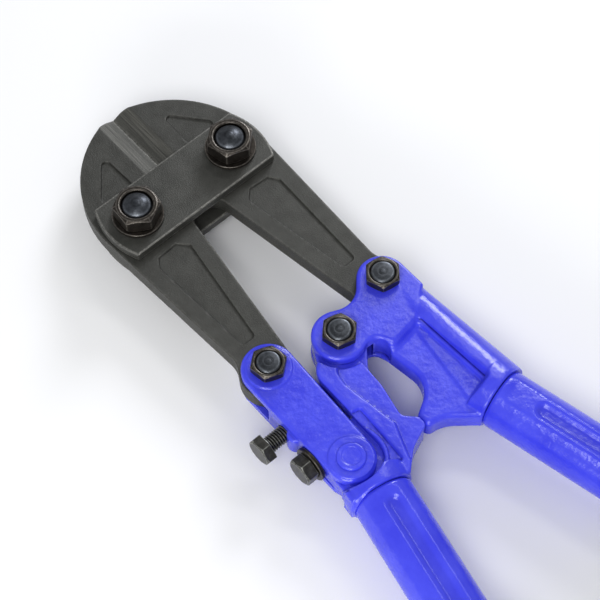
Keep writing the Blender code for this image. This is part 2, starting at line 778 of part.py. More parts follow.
def build_adjusting_arm():
    """Channel arm: two cheeks over the jaw tail and the left casting, closed on the outside."""
    name = "adjusting_arm"
    body = prism(name + " body", [arm_outline()], -CHEEK_TOP, CHEEK_TOP, 0.9 * MM)
    wall_x = arm_edge_x(ADJUSTING_SCREW_Y) + ARM_WALL
    top = LINK_Y - JAW_EYE_RADIUS - SLOT_PLAY
    bottom = LOCK_SCREW_Y + 4.6 * MM
    lug_x = arm_edge_x(bottom) + 1.4 * MM
    lug = rod(name + " lug", 3.3 * MM, -4.6 * MM, 4.6 * MM, at(lug_x, bottom + 6.0 * MM))
    inner = [(wall_x, 30 * MM), (wall_x, -60 * MM), (0.0, -60 * MM), (0.0, 30 * MM)]
    above = [(-60 * MM, top), (-10 * MM, top), (-10 * MM, 30 * MM), (-60 * MM, 30 * MM)]
    below = [(-60 * MM, -60 * MM), (-10 * MM, -60 * MM), (-10 * MM, bottom), (-60 * MM, bottom)]
    cuts = [
        prism(name + " channel", [inner], -CHEEK_LOW, CHEEK_LOW),
        prism(name + " jaw gap", [above], -CHEEK_LOW, CHEEK_LOW),
        prism(name + " web gap", [below], -CHEEK_LOW, CHEEK_LOW),
        rod(
            name + " screw hole",
            ADJUSTING_SCREW_RADIUS + GAP / 2,
            25 * MM,
            50 * MM,
            sideways(ADJUSTING_SCREW_Y),
        ),
        pivot_bore(name + " link bore", -LINK_X, LINK_Y, LINK_BOLT_RADIUS + GAP / 2),
        pivot_bore(name + " rivet bore", ARM_PIVOT_X, ARM_PIVOT_Y, RIVET_RADIUS + GAP / 2),
    ]
    return finish_node(body, name, BLUE_PAINT, (-LINK_X, LINK_Y, 0.0), [lug], cuts)


def build_rivet():
    """The painted pin on which the arm turns, with a low head on each cheek."""
    low = CHEEK_TOP + GAP
    high = low + RIVET_HEAD_HEIGHT
    edge = 0.6 * MM
    profile = [
        (0.0, high),
        (RIVET_HEAD_RADIUS - edge, high),
        (RIVET_HEAD_RADIUS, high - edge),
        (RIVET_HEAD_RADIUS, low),
        (RIVET_RADIUS, low),
        (RIVET_RADIUS, -low),
        (RIVET_HEAD_RADIUS, -low),
        (RIVET_HEAD_RADIUS, edge - high),
        (RIVET_HEAD_RADIUS - edge, -high),
        (0.0, -high),
    ]
    body = lathe("arm_rivet", profile, at(ARM_PIVOT_X, ARM_PIVOT_Y))
    return finish_node(body, "arm_rivet", BLUE_PAINT, (ARM_PIVOT_X, ARM_PIVOT_Y, 0.0))


# ---------------------------------------------------------------- handles


def flute_dip(angle, along):
    """How far the pressed flutes sink the tube wall, on its upper and lower sides."""
    nearest = min(abs(angle - math.pi / 2), abs(angle - 3 * math.pi / 2))
    across = max(0.0, 1.0 - (nearest / FLUTE_HALF_ANGLE) ** 2)
    inside = min(along - FLUTE_START, FLUTE_START + FLUTE_LENGTH - along)
    ends = max(0.0, min(1.0, inside / (4 * MM)))
    return FLUTE_DEPTH * across * math.sqrt(ends)


def tube_ring(radius, along):
    angles = [2 * math.pi * k / HANDLE_STEPS for k in range(HANDLE_STEPS)]
    reach = [radius - flute_dip(a, along) for a in angles]
    return [(r * math.cos(a), r * math.sin(a), along) for r, a in zip(reach, angles)]


def build_tube(name, side):
    """Round tube butted on the collar, crimped over the tang by two long flutes."""
    flute_end = FLUTE_START + FLUTE_LENGTH
    stations = [GAP, FLUTE_START, FLUTE_START + 1.2 * MM, FLUTE_START + 4 * MM]
    stations += [flute_end - 4 * MM, flute_end - 1.2 * MM, flute_end, TUBE_LENGTH]
    outer = [tube_ring(TUBE_RADIUS, along) for along in stations]
    inner = [tube_ring(TUBE_RADIUS - TUBE_WALL, along) for along in reversed(stations)]
    place = handle_frame(side)
    origin = (side * COLLAR_X, COLLAR_Y, 0.0)
    return finish_node(loft(name, outer + inner, place), name, BLUE_PAINT, origin)


def build_grip(name, side):
    """Sleeve pushed over the tube end, flared at its front and closed at its back."""
    start = TUBE_LENGTH + GAP + GRIP_END_WALL - GRIP_LENGTH
    end = start + GRIP_LENGTH
    bore = TUBE_RADIUS + GAP
    outer = bore + GRIP_WALL
    edge = 2.2 * MM
    profile = [
        (0.0, end),
        (outer - edge, end),
        (outer - 0.3 * edge, end - 0.3 * edge),
        (outer, end - edge),
        (outer, start + 14 * MM),
        (outer + GRIP_FLARE, start + 5 * MM),
        (outer + GRIP_FLARE, start + 1.5 * MM),
        (outer + GRIP_FLARE - 1.5 * MM, start),
        (bore, start),
        (bore, end - GRIP_END_WALL),
        (0.0, end - GRIP_END_WALL),
    ]
    origin = (side * COLLAR_X, COLLAR_Y, 0.0)
    body = lathe(name, profile, handle_frame(side), HANDLE_STEPS)
    return finish_node(body, name, BLACK_VINYL, origin)


# ---------------------------------------------------------------- assembly


def build_adjusters():
    edge = -arm_edge_x(ADJUSTING_SCREW_Y)
    build_side_screw(
        "adjusting_screw",
        ADJUSTING_SCREW_Y,
        ADJUSTING_SCREW_RADIUS,
        rail_edge_x() - GAP - ADJUSTING_TRAVEL,
        edge + ADJUSTING_SCREW_STANDOFF,
        ADJUSTING_HEAD_HEIGHT,
    )
    seat = -arm_edge_x(LOCK_SCREW_Y) + GAP
    washer_top = seat + LOCK_WASHER_THICKNESS
    build_washer(
        "lock_washer",
        sideways(LOCK_SCREW_Y),
        (-seat, LOCK_SCREW_Y, 0.0),
        LOCK_WASHER_RADIUS,
        LOCK_SCREW_RADIUS + GAP,
        seat,
        washer_top,
    )
    build_side_screw(
        "lock_screw",
        LOCK_SCREW_Y,
        LOCK_SCREW_RADIUS,
        lock_screw_end_x(),
        washer_top + GAP,
        LOCK_HEAD_HEIGHT,
    )


def move_to_base():
    """Puts the middle of the assembly's base at the world origin."""
    bpy.context.view_layer.update()
    corners = [thing.matrix_world @ Vector(c) for thing in PARTS.objects for c in thing.bound_box]
    low = [min(c[k] for c in corners) for k in range(3)]
    high = [max(c[k] for c in corners) for k in range(3)]
    shift = Vector((-(low[0] + high[0]) / 2, -(low[1] + high[1]) / 2, -low[2]))
    for group in (PARTS, CUTTERS):
        for thing in group.objects:
            thing.location += shift


def main():
    build_plate("front_link_plate", PLATE_WIDTH, PLATE_LOW, PLATE_TOP)
    build_plate("rear_link_plate", REAR_PLATE_WIDTH, -PLATE_TOP, -PLATE_LOW)
    for word, side in (("right", 1), ("left", -1)):
        build_jaw(word + "_jaw", side)
        build_jaw_fasteners(word, side)
        build_link_fasteners(word + "_link", side * LINK_X, LINK_Y)
        build_tube(word + "_handle_tube", side)
        build_grip(word + "_grip", side)
    build_link_fasteners("centre", 0.0, 0.0)
    build_right_casting()
    build_left_casting()
    build_adjusting_arm()
    build_rivet()
    build_adjusters()
    move_to_base()


clear_scene()
PARTS = new_collection("bolt_cutter")
CUTTERS = new_collection("cutters")
main()
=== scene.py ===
"""Compound-action bolt cutter lying flat: forged jaws, link plates, painted castings, tubes and sleeves."""

import json
import logging
import math
from dataclasses import dataclass, field
from enum import IntEnum
from typing import Callable

import bpy
import numpy as np
from mathutils import Matrix, Vector


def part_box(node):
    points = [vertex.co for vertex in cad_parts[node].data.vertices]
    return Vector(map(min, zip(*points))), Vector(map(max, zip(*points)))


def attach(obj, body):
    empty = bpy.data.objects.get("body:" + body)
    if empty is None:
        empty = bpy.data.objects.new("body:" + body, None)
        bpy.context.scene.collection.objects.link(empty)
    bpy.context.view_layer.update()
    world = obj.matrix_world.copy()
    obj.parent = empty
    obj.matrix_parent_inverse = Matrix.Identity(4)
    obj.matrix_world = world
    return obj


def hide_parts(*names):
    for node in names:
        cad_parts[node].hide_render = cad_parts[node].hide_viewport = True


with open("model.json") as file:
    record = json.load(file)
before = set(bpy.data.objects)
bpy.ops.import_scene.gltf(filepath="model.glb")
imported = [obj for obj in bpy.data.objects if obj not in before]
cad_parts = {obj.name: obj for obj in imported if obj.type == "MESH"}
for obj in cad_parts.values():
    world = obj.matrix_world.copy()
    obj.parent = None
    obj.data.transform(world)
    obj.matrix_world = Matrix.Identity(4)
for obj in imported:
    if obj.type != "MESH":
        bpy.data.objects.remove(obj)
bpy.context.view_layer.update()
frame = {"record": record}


log = logging.getLogger("bolt_cutter")
METRES = 0.001
Field = Callable[[np.ndarray, np.ndarray, np.ndarray], np.ndarray]
Circle = tuple[float, float, float]
Mesh = tuple[np.ndarray, np.ndarray, dict[str, np.ndarray]]


class Side(IntEnum):
    """The two halves of the tool, as the sign of their plan X."""

    RIGHT = 1
    LEFT = -1

    @property
    def word(self) -> str:
        """The half's name."""
        return self.name.lower()


# ---------------------------------------------------------------- where things are


def middle(node: str) -> np.ndarray:
    """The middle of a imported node's box, in metres.

    Args:
        node: The node's name.

    Returns:
        Three coordinates.
    """
    low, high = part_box(node)
    return (np.array(low) + np.array(high)) / 2


HEART = np.array([*middle("centre_bolt")[:2], middle("right_jaw")[2]])


def spot(node: str) -> tuple[float, float]:
    """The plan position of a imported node's middle, in millimetres from the centre pivot."""
    x, y, _ = (middle(node) - HEART) / METRES
    return float(x), float(y)


def reach(node: str, axis: int) -> tuple[float, float]:
    """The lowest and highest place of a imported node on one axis, in millimetres from the centre pivot."""
    low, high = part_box(node)
    return (low[axis] - HEART[axis]) / METRES, (high[axis] - HEART[axis]) / METRES


# ---------------------------------------------------------------- shapes worked out as distances


@dataclass(frozen=True)
class Outline:
    """A closed plan outline: a belt laid counter-clockwise round circles.

    A positive radius is a rounded corner, a negative one is a hollow that the belt passes on its
    outside, and a zero radius becomes a corner broken by `nick` millimetres.
    """

    circles: tuple[Circle, ...]
    nick: float = 0.12

    @staticmethod
    def headings(circles: list[Circle]) -> list[float]:
        """The direction of the straight run that leaves each circle for the next.

        Args:
            circles: The signed circles, in order.

        Returns:
            The angles, in radians.
        """
        made = []
        for here, there in zip(circles, circles[1:] + circles[:1]):
            lean = (there[2] - here[2]) / math.dist(here[:2], there[:2])
            if abs(lean) > 1:
                raise ValueError(f"circles {here} and {there} are too near for a belt between them")
            made.append(math.atan2(there[1] - here[1], there[0] - here[0]) - math.asin(lean))
        return made

    def rounded(self) -> list[Circle]:
        """The circles with each zero radius made a small one: positive where the belt turns left.

        Returns:
            The circles, none of zero radius.
        """
        run = self.headings(list(self.circles))
        made = []
        for k, (x, y, radius) in enumerate(self.circles):
            turn = math.remainder(run[k] - run[k - 1], 2 * math.pi)
            made.append((x, y, radius or math.copysign(self.nick, turn)))
        return made

    def distance(self, x: np.ndarray, y: np.ndarray) -> np.ndarray:
        """Signed distance to the outline, negative inside.

        Every side of the belt is a straight or an arc, and they meet without a corner, so the
        nearest point is always square across one of them: the answer is the offset from the one
        that is nearest, out of those whose span holds the point.

        Args:
            x: First coordinates.
            y: Second coordinates, of a shape that goes with the first.

        Returns:
            The distances, in the shape that the two arrays make together.
        """
        circles = self.rounded()
        count = len(circles)
        headings = self.headings(circles)
        best = np.full(np.broadcast(x, y).shape, 1e6)
        for k, (cx, cy, radius) in enumerate(circles):
            start, end = headings[k - 1], headings[k]
            turn = (end - start) % (2 * math.pi)
            if radius < 0:
                turn -= 2 * math.pi
                if turn <= -2 * math.pi:
                    turn = 0.0
            aim = start + turn / 2 - math.copysign(math.pi / 2, radius)
            dx, dy = x - cx, y - cy
            around = np.abs(np.mod(np.arctan2(dy, dx) - aim + math.pi, 2 * math.pi) - math.pi)
            offset = (np.hypot(dx, dy) - abs(radius)) * math.copysign(1.0, radius)
            near = (around <= abs(turn) / 2 + 1e-6) & (np.abs(offset) < np.abs(best))
            best = np.where(near, offset, best)
            nx, ny, next_radius = circles[(k + 1) % count]
            sin, cos = math.sin(end), math.cos(end)
            ax, ay = cx + radius * sin, cy - radius * cos
            length = math.hypot(nx + next_radius * sin - ax, ny - next_radius * cos - ay)
            along = (x - ax) * cos + (y - ay) * sin
            offset = (x - ax) * sin - (y - ay) * cos
            near = (along >= -1e-6) & (along <= length + 1e-6) & (np.abs(offset) < np.abs(best))
            best = np.where(near, offset, best)
        return best


def slab(plan: np.ndarray, across: np.ndarray, half: float, rim: float) -> np.ndarray:
    """A plate: the larger of the plan distance and the height beyond half, its rims rounded.

    Args:
        plan: Plan distances to its outline.
        across: Heights from its middle.
        half: Half its thickness.
        rim: Radius of its rims.

    Returns:
        Signed distances.
    """
    a = plan + rim
    b = np.abs(across) - half + rim
    inner = np.minimum(np.maximum(a, b), 0.0)
    return inner + np.hypot(np.maximum(a, 0.0), np.maximum(b, 0.0)) - rim


def joined(a: np.ndarray, b: np.ndarray, fillet: float) -> np.ndarray:
    """Both solids, with a round fillet where they meet: the smaller distance, less a quarter circle."""
    u, v = np.maximum(fillet - a, 0.0), np.maximum(fillet - b, 0.0)
    return np.maximum(fillet, np.minimum(a, b)) - np.hypot(u, v)


def common(a: np.ndarray, b: np.ndarray, rounding: float) -> np.ndarray:
    """What two solids share, with the new edge rounded: the larger distance, plus a quarter circle."""
    u, v = np.maximum(rounding + a, 0.0), np.maximum(rounding + b, 0.0)
    return np.minimum(-rounding, np.maximum(a, b)) + np.hypot(u, v)


def cut(a: np.ndarray, b: np.ndarray, rounding: float) -> np.ndarray:
    """The first solid less the second, with the new edge rounded."""
    return common(a, -b, rounding)


def ramp(value: np.ndarray, start: float, end: float) -> np.ndarray:
    """Nought before start, one after end, and an S-shaped cubic between them."""
    t = np.clip((value - start) / (end - start), 0.0, 1.0)
    return t * t * (3.0 - 2.0 * t)


def disc(x: np.ndarray, y: np.ndarray, centre: tuple[float, float], radius: float) -> np.ndarray:
    """Plan distance to a circle: how far the point is from its centre, less the radius."""
    return np.hypot(x - centre[0], y - centre[1]) - radius


def taper(p: tuple, start: tuple, end: tuple, r0: float, r1: float) -> np.ndarray:
    """A round taper between two points of the middle plane.

    The distance from the line between them, less a radius that goes evenly from r0 to r1.

    Args:
        p: The three coordinate arrays.
        start: Plan position of the first end.
        end: Plan position of the second end.
        r0: Radius at the first end.
        r1: Radius at the second end.

    Returns:
        Signed distances.
    """
    x, y, z = p
    dx, dy = end[0] - start[0], end[1] - start[1]
    length = math.hypot(dx, dy)
    t = np.clip(((x - start[0]) * dx + (y - start[1]) * dy) / length**2, 0.0, 1.0)
    off = np.sqrt((x - start[0] - t * dx) ** 2 + (y - start[1] - t * dy) ** 2 + z**2)
    return (off - r0 - t * (r1 - r0)) * length / math.hypot(length, r1 - r0)


def slopes(shape: Field, points: np.ndarray, small: float = 0.02) -> np.ndarray:
    """Unit outward directions at points: central differences of the distance over a small step.

    Args:
        shape: The distance field.
        points: The points, one a row.
        small: Half the step, in millimetres.

    Returns:
        The directions, one a row.
    """
    rows = []
    for axis in range(3):
        step = np.zeros(3)
        step[axis] = small
        ahead, behind = points + step, points - step
        rows.append(shape(*ahead.T) - shape(*behind.T))
    out = np.stack(rows, axis=1)
    return out / np.maximum(np.linalg.norm(out, axis=1, keepdims=True), 1e-9)


def skin(shape: Field, low: tuple, high: tuple, step: float, feel: float = 0.7) -> Mesh:
    """The closed surface where a distance field is nought.

    The field is sampled on a cubic grid. Where it changes sign along a grid edge, the crossing is
    found by false position, and the four cells round that edge share a face. Each cell's corner is
    the point that lies best, by least squares, on the planes through its crossings, so flat faces
    stay flat and edges stay crisp. Two values go with each corner: how near a proud edge it is,
    and how near a hollow one, from the field a little way in and a little way out.

    Args:
        shape: The distance field, in millimetres, negative inside.
        low: Lowest corner of the room searched.
        high: Highest corner of the room searched.
        step: Grid spacing.
        feel: How far in and out the edges are felt for.

    Returns:
        Corners, faces of four and the two values.
    """
    marks = [np.arange(a - 1.5 * step, b + 2.5 * step, step) for a, b in zip(low, high)]
    x, y, z = (m.reshape([-1 if k == axis else 1 for k in range(3)]) for axis, m in enumerate(marks))
    value = np.broadcast_to(shape(x, y, z), [len(m) for m in marks]).astype(np.float32)
    inside = value < 0
    sizes = np.array(value.shape)
    strides = np.array([sizes[1] * sizes[2], sizes[2], 1])
    base = np.array([m[0] for m in marks])
    points, normals, cells = [], [], []
    for axis in range(3):
        before = [slice(None)] * 3
        after = [slice(None)] * 3
        before[axis], after[axis] = slice(0, -1), slice(1, None)
        here, there = inside[tuple(before)], inside[tuple(after)]
        at = np.argwhere(here != there)
        v0 = value[tuple(before)][tuple(at.T)].astype(float)
        v1 = value[tuple(after)][tuple(at.T)].astype(float)
        flip = v0 > 0
        unit = np.zeros(3)
        unit[axis] = step
        corner = base + at * step
        t0, t1 = np.zeros(len(at)), np.ones(len(at))
        for _ in range(4):
            t = t0 + (t1 - t0) * np.clip(v0 / (v0 - v1), 0.02, 0.98)
            v = shape(*(corner + t[:, None] * unit).T)
            low_side = (v < 0) == (v0 < 0)
            t0, v0 = np.where(low_side, t, t0), np.where(low_side, v, v0)
            t1, v1 = np.where(low_side, t1, t), np.where(low_side, v1, v)
        t = t0 + (t1 - t0) * v0 / (v0 - v1)
        found = corner + t[:, None] * unit
        points.append(found)
        normals.append(slopes(shape, found))
        b, c = strides[(axis + 1) % 3], strides[(axis + 2) % 3]
        own = at @ strides
        ring = np.stack([own - b - c, own - c, own, own - b], axis=1)
        ring[flip] = ring[flip][:, ::-1]
        cells.append(ring)
    point = np.repeat(np.concatenate(points), 4, axis=0)
    normal = np.repeat(np.concatenate(normals), 4, axis=0)
    rings = np.concatenate(cells)
    used, index = np.unique(rings.ravel(), return_inverse=True)
    index = index.ravel()
    count = np.bincount(index).astype(float)
    mean = np.stack([np.bincount(index, point[:, k]) for k in range(3)], axis=1) / count[:, None]
    flat = np.einsum("nk,nk->n", normal, point - mean[index])
    square = np.zeros((len(used), 3, 3))
    right = np.zeros((len(used), 3))
    for k in range(3):
        right[:, k] = np.bincount(index, normal[:, k] * flat)
        for m in range(3):
            square[:, k, m] = np.bincount(index, normal[:, k] * normal[:, m])
        square[:, k, k] += 0.04 * count
    corners = mean + np.linalg.solve(square, right[:, :, None])[:, :, 0]
    cell = np.stack(np.unravel_index(used, value.shape), axis=1) * step + base
    corners = np.clip(corners, cell, cell + step)
    aim = slopes(shape, corners)
    proud = np.clip(1.0 + shape(*(corners - feel * aim).T) / feel, 0.0, 1.0)
    hollow = np.clip(1.0 - shape(*(corners + feel * aim).T) / feel, 0.0, 1.0)
    return corners, index.reshape(-1, 4), {"proud": proud, "hollow": hollow}


# ---------------------------------------------------------------- shapes turned and swept


def grid_faces(rows: int, columns: int, closed: bool) -> np.ndarray:
    """Faces of four over a grid of corners whose columns join round, and whose rows do too if closed.

    Args:
        rows: Rows of corners.
        columns: Columns of corners.
        closed: Whether the last row joins the first.

    Returns:
        Corner numbers, four to a face.
    """
    last = rows if closed else rows - 1
    row, column = np.meshgrid(np.arange(last), np.arange(columns), indexing="ij")
    after, beside = (row + 1) % rows, (column + 1) % columns
    at = [row * columns + column, row * columns + beside, after * columns + beside, after * columns + column]
    return np.stack([a.ravel() for a in at], axis=1)


def swept(rings: np.ndarray, values: dict[str, np.ndarray], closed: bool) -> Mesh:
    """A skin over a stack of rings.

    Corner (row, column) of the grid is point column of ring row. Each ring joins round. The last ring
    joins the first if closed, and otherwise each end is drawn in to the mean of its ring.

    Args:
        rings: Rows, columns and three coordinates.
        values: A number for each row and column, by name.
        closed: Whether the rings make a loop.

    Returns:
        The mesh, facing outwards where rings turn anticlockwise about their way.
    """
    rows, columns, _ = rings.shape
    corners = rings.reshape(-1, 3)
    faces = [grid_faces(rows, columns, closed)]
    flat = {name: np.broadcast_to(value, (rows, columns)).ravel() for name, value in values.items()}
    if not closed:
        ends = np.stack([rings[0].mean(axis=0), rings[-1].mean(axis=0)])
        count = len(corners)
        ring = np.arange(columns)
        first = np.stack([np.full(columns, count), np.roll(ring, -1), ring], axis=1)
        last = ring + (rows - 1) * columns
        final = np.stack([np.full(columns, count + 1), last, np.roll(last, -1)], axis=1)
        corners = np.concatenate([corners, ends])
        faces += [first, final]
        flat = {name: np.concatenate([v, [v[0], v[-1]]]) for name, v in flat.items()}
    return corners, faces, flat


def softened(profile: np.ndarray, size: float, closed: bool) -> tuple[np.ndarray, np.ndarray]:
    """A profile whose corners are broken by a small flat.

    Each corner becomes four points, at one and at three sizes along the two sides that meet there,
    and the inner two have the value one, so that the lighter edge tone, rubbed bright on steel and a painted
    highlight on enamel, can follow the edge.

    Args:
        profile: Points, columns and two coordinates.
        size: How far along each side the corner is cut back.
        closed: Whether the last point joins the first.

    Returns:
        The new profile and a value for each of its rows.
    """
    before, after = np.roll(profile, 1, axis=0), np.roll(profile, -1, axis=0)
    rows = []
    for other, far in ((before, 3.0), (before, 1.0), (after, 1.0), (after, 3.0)):
        way = other - profile
        length = np.maximum(np.linalg.norm(way, axis=2, keepdims=True), 1e-9)
        rows.append(profile + way / length * np.minimum(far * size, length * 0.16 * far))
    made = np.stack(rows, axis=1).reshape(-1, *profile.shape[1:])
    worn_and_highlit = np.tile([0.0, 1.0, 1.0, 0.0], len(profile))
    if not closed:
        made = np.concatenate([profile[:1], made[4:-4], profile[-1:]])
        worn_and_highlit = np.concatenate([[0.0], worn_and_highlit[4:-4], [0.0]])
    return made, worn_and_highlit


def turned(profile: list, steps: int, size: float = 0.0, closed: bool = False) -> Mesh:
    """A solid turned about Z: point (radius, height) goes round a circle of that radius at that height.

    Args:
        profile: Points from the bottom, up the outer side, to the top, each a radius and a height.
        steps: Columns round the turn.
        size: How much its corners are broken, or nought.
        closed: Whether the profile is a ring round a bore.

    Returns:
        The mesh.
    """
    flat = np.array(profile, float)[:, None, :]
    worn_and_highlit = np.zeros(len(flat))
    if size:
        flat, worn_and_highlit = softened(flat, size, closed)
    angle = np.linspace(0.0, 2 * math.pi, steps, endpoint=False)
    radius, height = flat[:, :, 0], flat[:, :, 1]
    height = np.broadcast_to(height, (len(flat), steps))
    rings = np.stack([radius * np.cos(angle), radius * np.sin(angle), height], axis=2)
    if not closed:
        rings = rings[(0 if flat[0, 0, 0] > 0 else 1) : (None if flat[-1, 0, 0] > 0 else -1)]
        ends = worn_and_highlit[1:-1] if len(rings) == len(worn_and_highlit) - 2 else worn_and_highlit[: len(rings)]
        mesh = swept(rings, {"proud": ends[:, None]}, False)
        for row, point in ((-2, flat[0, 0]), (-1, flat[-1, 0])):
            mesh[0][row, 2] = point[1]
        return mesh
    return swept(rings, {"proud": worn_and_highlit[:, None]}, True)


def moved(mesh: Mesh, place: Matrix) -> Mesh:
    """The mesh with its corners carried by a placing.

    Args:
        mesh: The mesh.
        place: The placing.

    Returns:
        The mesh, placed.
    """
    corners, faces, values = mesh
    turn = np.array(place)
    return corners @ turn[:3, :3].T + turn[:3, 3], faces, values


def together(*meshes: Mesh) -> Mesh:
    """Several closed shells as one mesh, with nought where one has no such per-corner number.

    Args:
        meshes: The shells.

    Returns:
        The mesh that holds them all.
    """
    corners, faces, values = [], [], {}
    names = {name for mesh in meshes for name in mesh[2]}
    start = 0
    for points, polygons, numbers in meshes:
        corners.append(points)
        faces += [f + start for f in (polygons if isinstance(polygons, list) else [polygons])]
        for name in names:
            values.setdefault(name, []).append(numbers.get(name, np.zeros(len(points))))
        start += len(points)
    return np.concatenate(corners), faces, {name: np.concatenate(v) for name, v in values.items()}


def at(x: float, y: float, z: float = 0.0) -> Matrix:
    """A shift, in millimetres."""
    return Matrix.Translation((x, y, z))


def hexagon(flats: float, softness: float = 46.0) -> tuple[np.ndarray, np.ndarray, np.ndarray]:
    """The section of a hexagon with slightly rounded corners.

    Nine angles stand along each flat, closer together near its corners. The radius at an angle is the
    half width over flats divided by the power mean of the cosines to the six flats' middles.

    Args:
        flats: Width over flats.
        softness: Power of the mean; the higher, the sharper the corners.

    Returns:
        Angles, radii, and how near each angle is to a corner.
    """
    share = np.array([-1.0, -0.965, -0.9, -0.6, -0.2, 0.2, 0.6, 0.9, 0.965])
    side = np.arange(6)[:, None] * math.pi / 3
    angle = (side + np.arctan(share * math.tan(math.pi / 6))[None, :]).ravel()
    facing = np.cos(angle[:, None] - np.arange(6)[None, :] * math.pi / 3)
    mean = (np.maximum(facing, 0.0) ** softness).sum(axis=1) ** (1.0 / softness)
    corner = np.tile(np.where(np.abs(share) > 0.95, 1.0, 0.0), 6)
    return angle, flats / 2 / mean, corner


def hex_block(
    flats: float, bore: float, low: float, high: float, top_chamfer: bool = True, low_chamfer: bool = True
) -> Mesh:
    """A nut or bolt head: a hexagonal prism whose corners are turned off at thirty degrees.

    At each angle the profile goes from the bore along the underside to the chamfer circle, out to the
    hexagon while it rises by the overshoot times tan 30, up the flat, and back the same way on top.

    Args:
        flats: Width over flats.
        bore: Radius of the hole, or nought for a head.
        low: Height of the underside.
        high: Height of the top.
        top_chamfer: Whether the top corners are turned off.
        low_chamfer: Whether the bottom corners are.

    Returns:
        The mesh, about the Z axis.
    """
    angle, wide, corner = hexagon(flats)
    circle = flats / 2 * 0.945
    drop = (wide - circle) * math.tan(math.radians(30.0))
    none = np.zeros_like(angle)
    inner = max(bore, 0.02)
    lip = 0.45 if bore else 0.0
    rows = [
        (none + inner + lip, none + low),
        (none + circle, none + low),
        (wide, low + drop * low_chamfer),
        (wide, high - drop * top_chamfer),
        (none + circle, none + high),
        (none + inner + lip, none + high),
    ]
    if bore:
        rows += [(none + inner, none + high - 0.7 * lip), (none + inner, none + low + 0.7 * lip)]
    profile = np.stack([np.stack(row, axis=1) for row in rows])
    profile, worn_and_highlit = softened(profile, 0.13, bool(bore))
    radius, height = profile[:, :, 0], profile[:, :, 1]
    side = ramp(radius, circle * 1.002, circle * 1.03)
    worn_and_highlit = np.clip(worn_and_highlit[:, None] + corner[None, :] * side, 0.0, 1.0)
    rings = np.stack([radius * np.cos(angle), radius * np.sin(angle), height], axis=2)
    return swept(rings, {"proud": worn_and_highlit}, bool(bore))


def thread(radius: float, low: float, high: float, pitch: float, depth: float) -> Mesh:
    """A screwed rod about Z.

    The radius at angle a and height h is the outer radius less the depth times a rounded sawtooth of
    h / pitch - a / one turn, and it draws in over the last turn at each end.

    Args:
        radius: Outer radius.
        low: Height of the lower end.
        high: Height of the upper end.
        pitch: Rise in one turn.
        depth: How deep the groove is.

    Returns:
        The mesh.
    """
    angle = np.linspace(0.0, 2 * math.pi, 56, endpoint=False)[None, :]
    height = np.linspace(low, high, int((high - low) / pitch * 9) + 1)[:, None]
    phase = np.mod(height / pitch - angle / (2 * math.pi), 1.0)
    groove = np.clip(1.25 - np.abs(phase - 0.5) * 3.0, 0.0, 1.0)
    groove = groove * groove * (3 - 2 * groove)
    ends = np.minimum(height - low, high - height)
    inset = depth * 1.15 * (1.0 - ramp(ends, 0.0, 0.9 * pitch))
    out = np.minimum(radius - depth * groove, radius - inset)
    rings = np.stack([out * np.cos(angle), out * np.sin(angle), height + 0 * angle], axis=2)
    # The crests take the lighter edge tone and the grooves take painted shade.
    return swept(rings, {"proud": 0.8 * (1 - groove), "hollow": groove}, False)


# ---------------------------------------------------------------- finishes


def linear(colour: str) -> tuple[float, float, float, float]:
    """A hex sRGB colour as linear values with full alpha.

    Args:
        colour: The colour, as # and six digits.

    Returns:
        Red, green, blue and alpha.
    """
    parts = [int(colour[k : k + 2], 16) / 255 for k in (1, 3, 5)]
    made = [v / 12.92 if v <= 0.04045 else ((v + 0.055) / 1.055) ** 2.4 for v in parts]
    return (*made, 1.0)


def per_metre(size: float) -> float:
    """The noise scale that gives features of a size in millimetres, on coordinates in metres."""
    return 1.0 / (size * METRES)


def add(tree: bpy.types.NodeTree, kind: str, settings: dict, links: dict | None = None) -> bpy.types.Node:
    """Adds a node.

    Args:
        tree: The material's node tree.
        kind: The node's type name.
        settings: Values by property name, or by socket name or number.
        links: Output sockets by the name or number of the socket that they go to.

    Returns:
        The node.
    """
    made = tree.nodes.new(kind)
    for key, value in settings.items():
        if isinstance(key, str) and hasattr(made, key):
            setattr(made, key, value)
        else:
            made.inputs[key].default_value = value
    for key, source in (links or {}).items():
        tree.links.new(source, made.inputs[key])
    return made


# Sizes of a finish's patterns in millimetres: flecks in the lighter edge tone, waves in enamel, lines of a
# grinding stone.
FLECK_SIZE = 1.1
RIPPLE_SIZE = 3.2
STONE_LINE_SIZE = 0.5


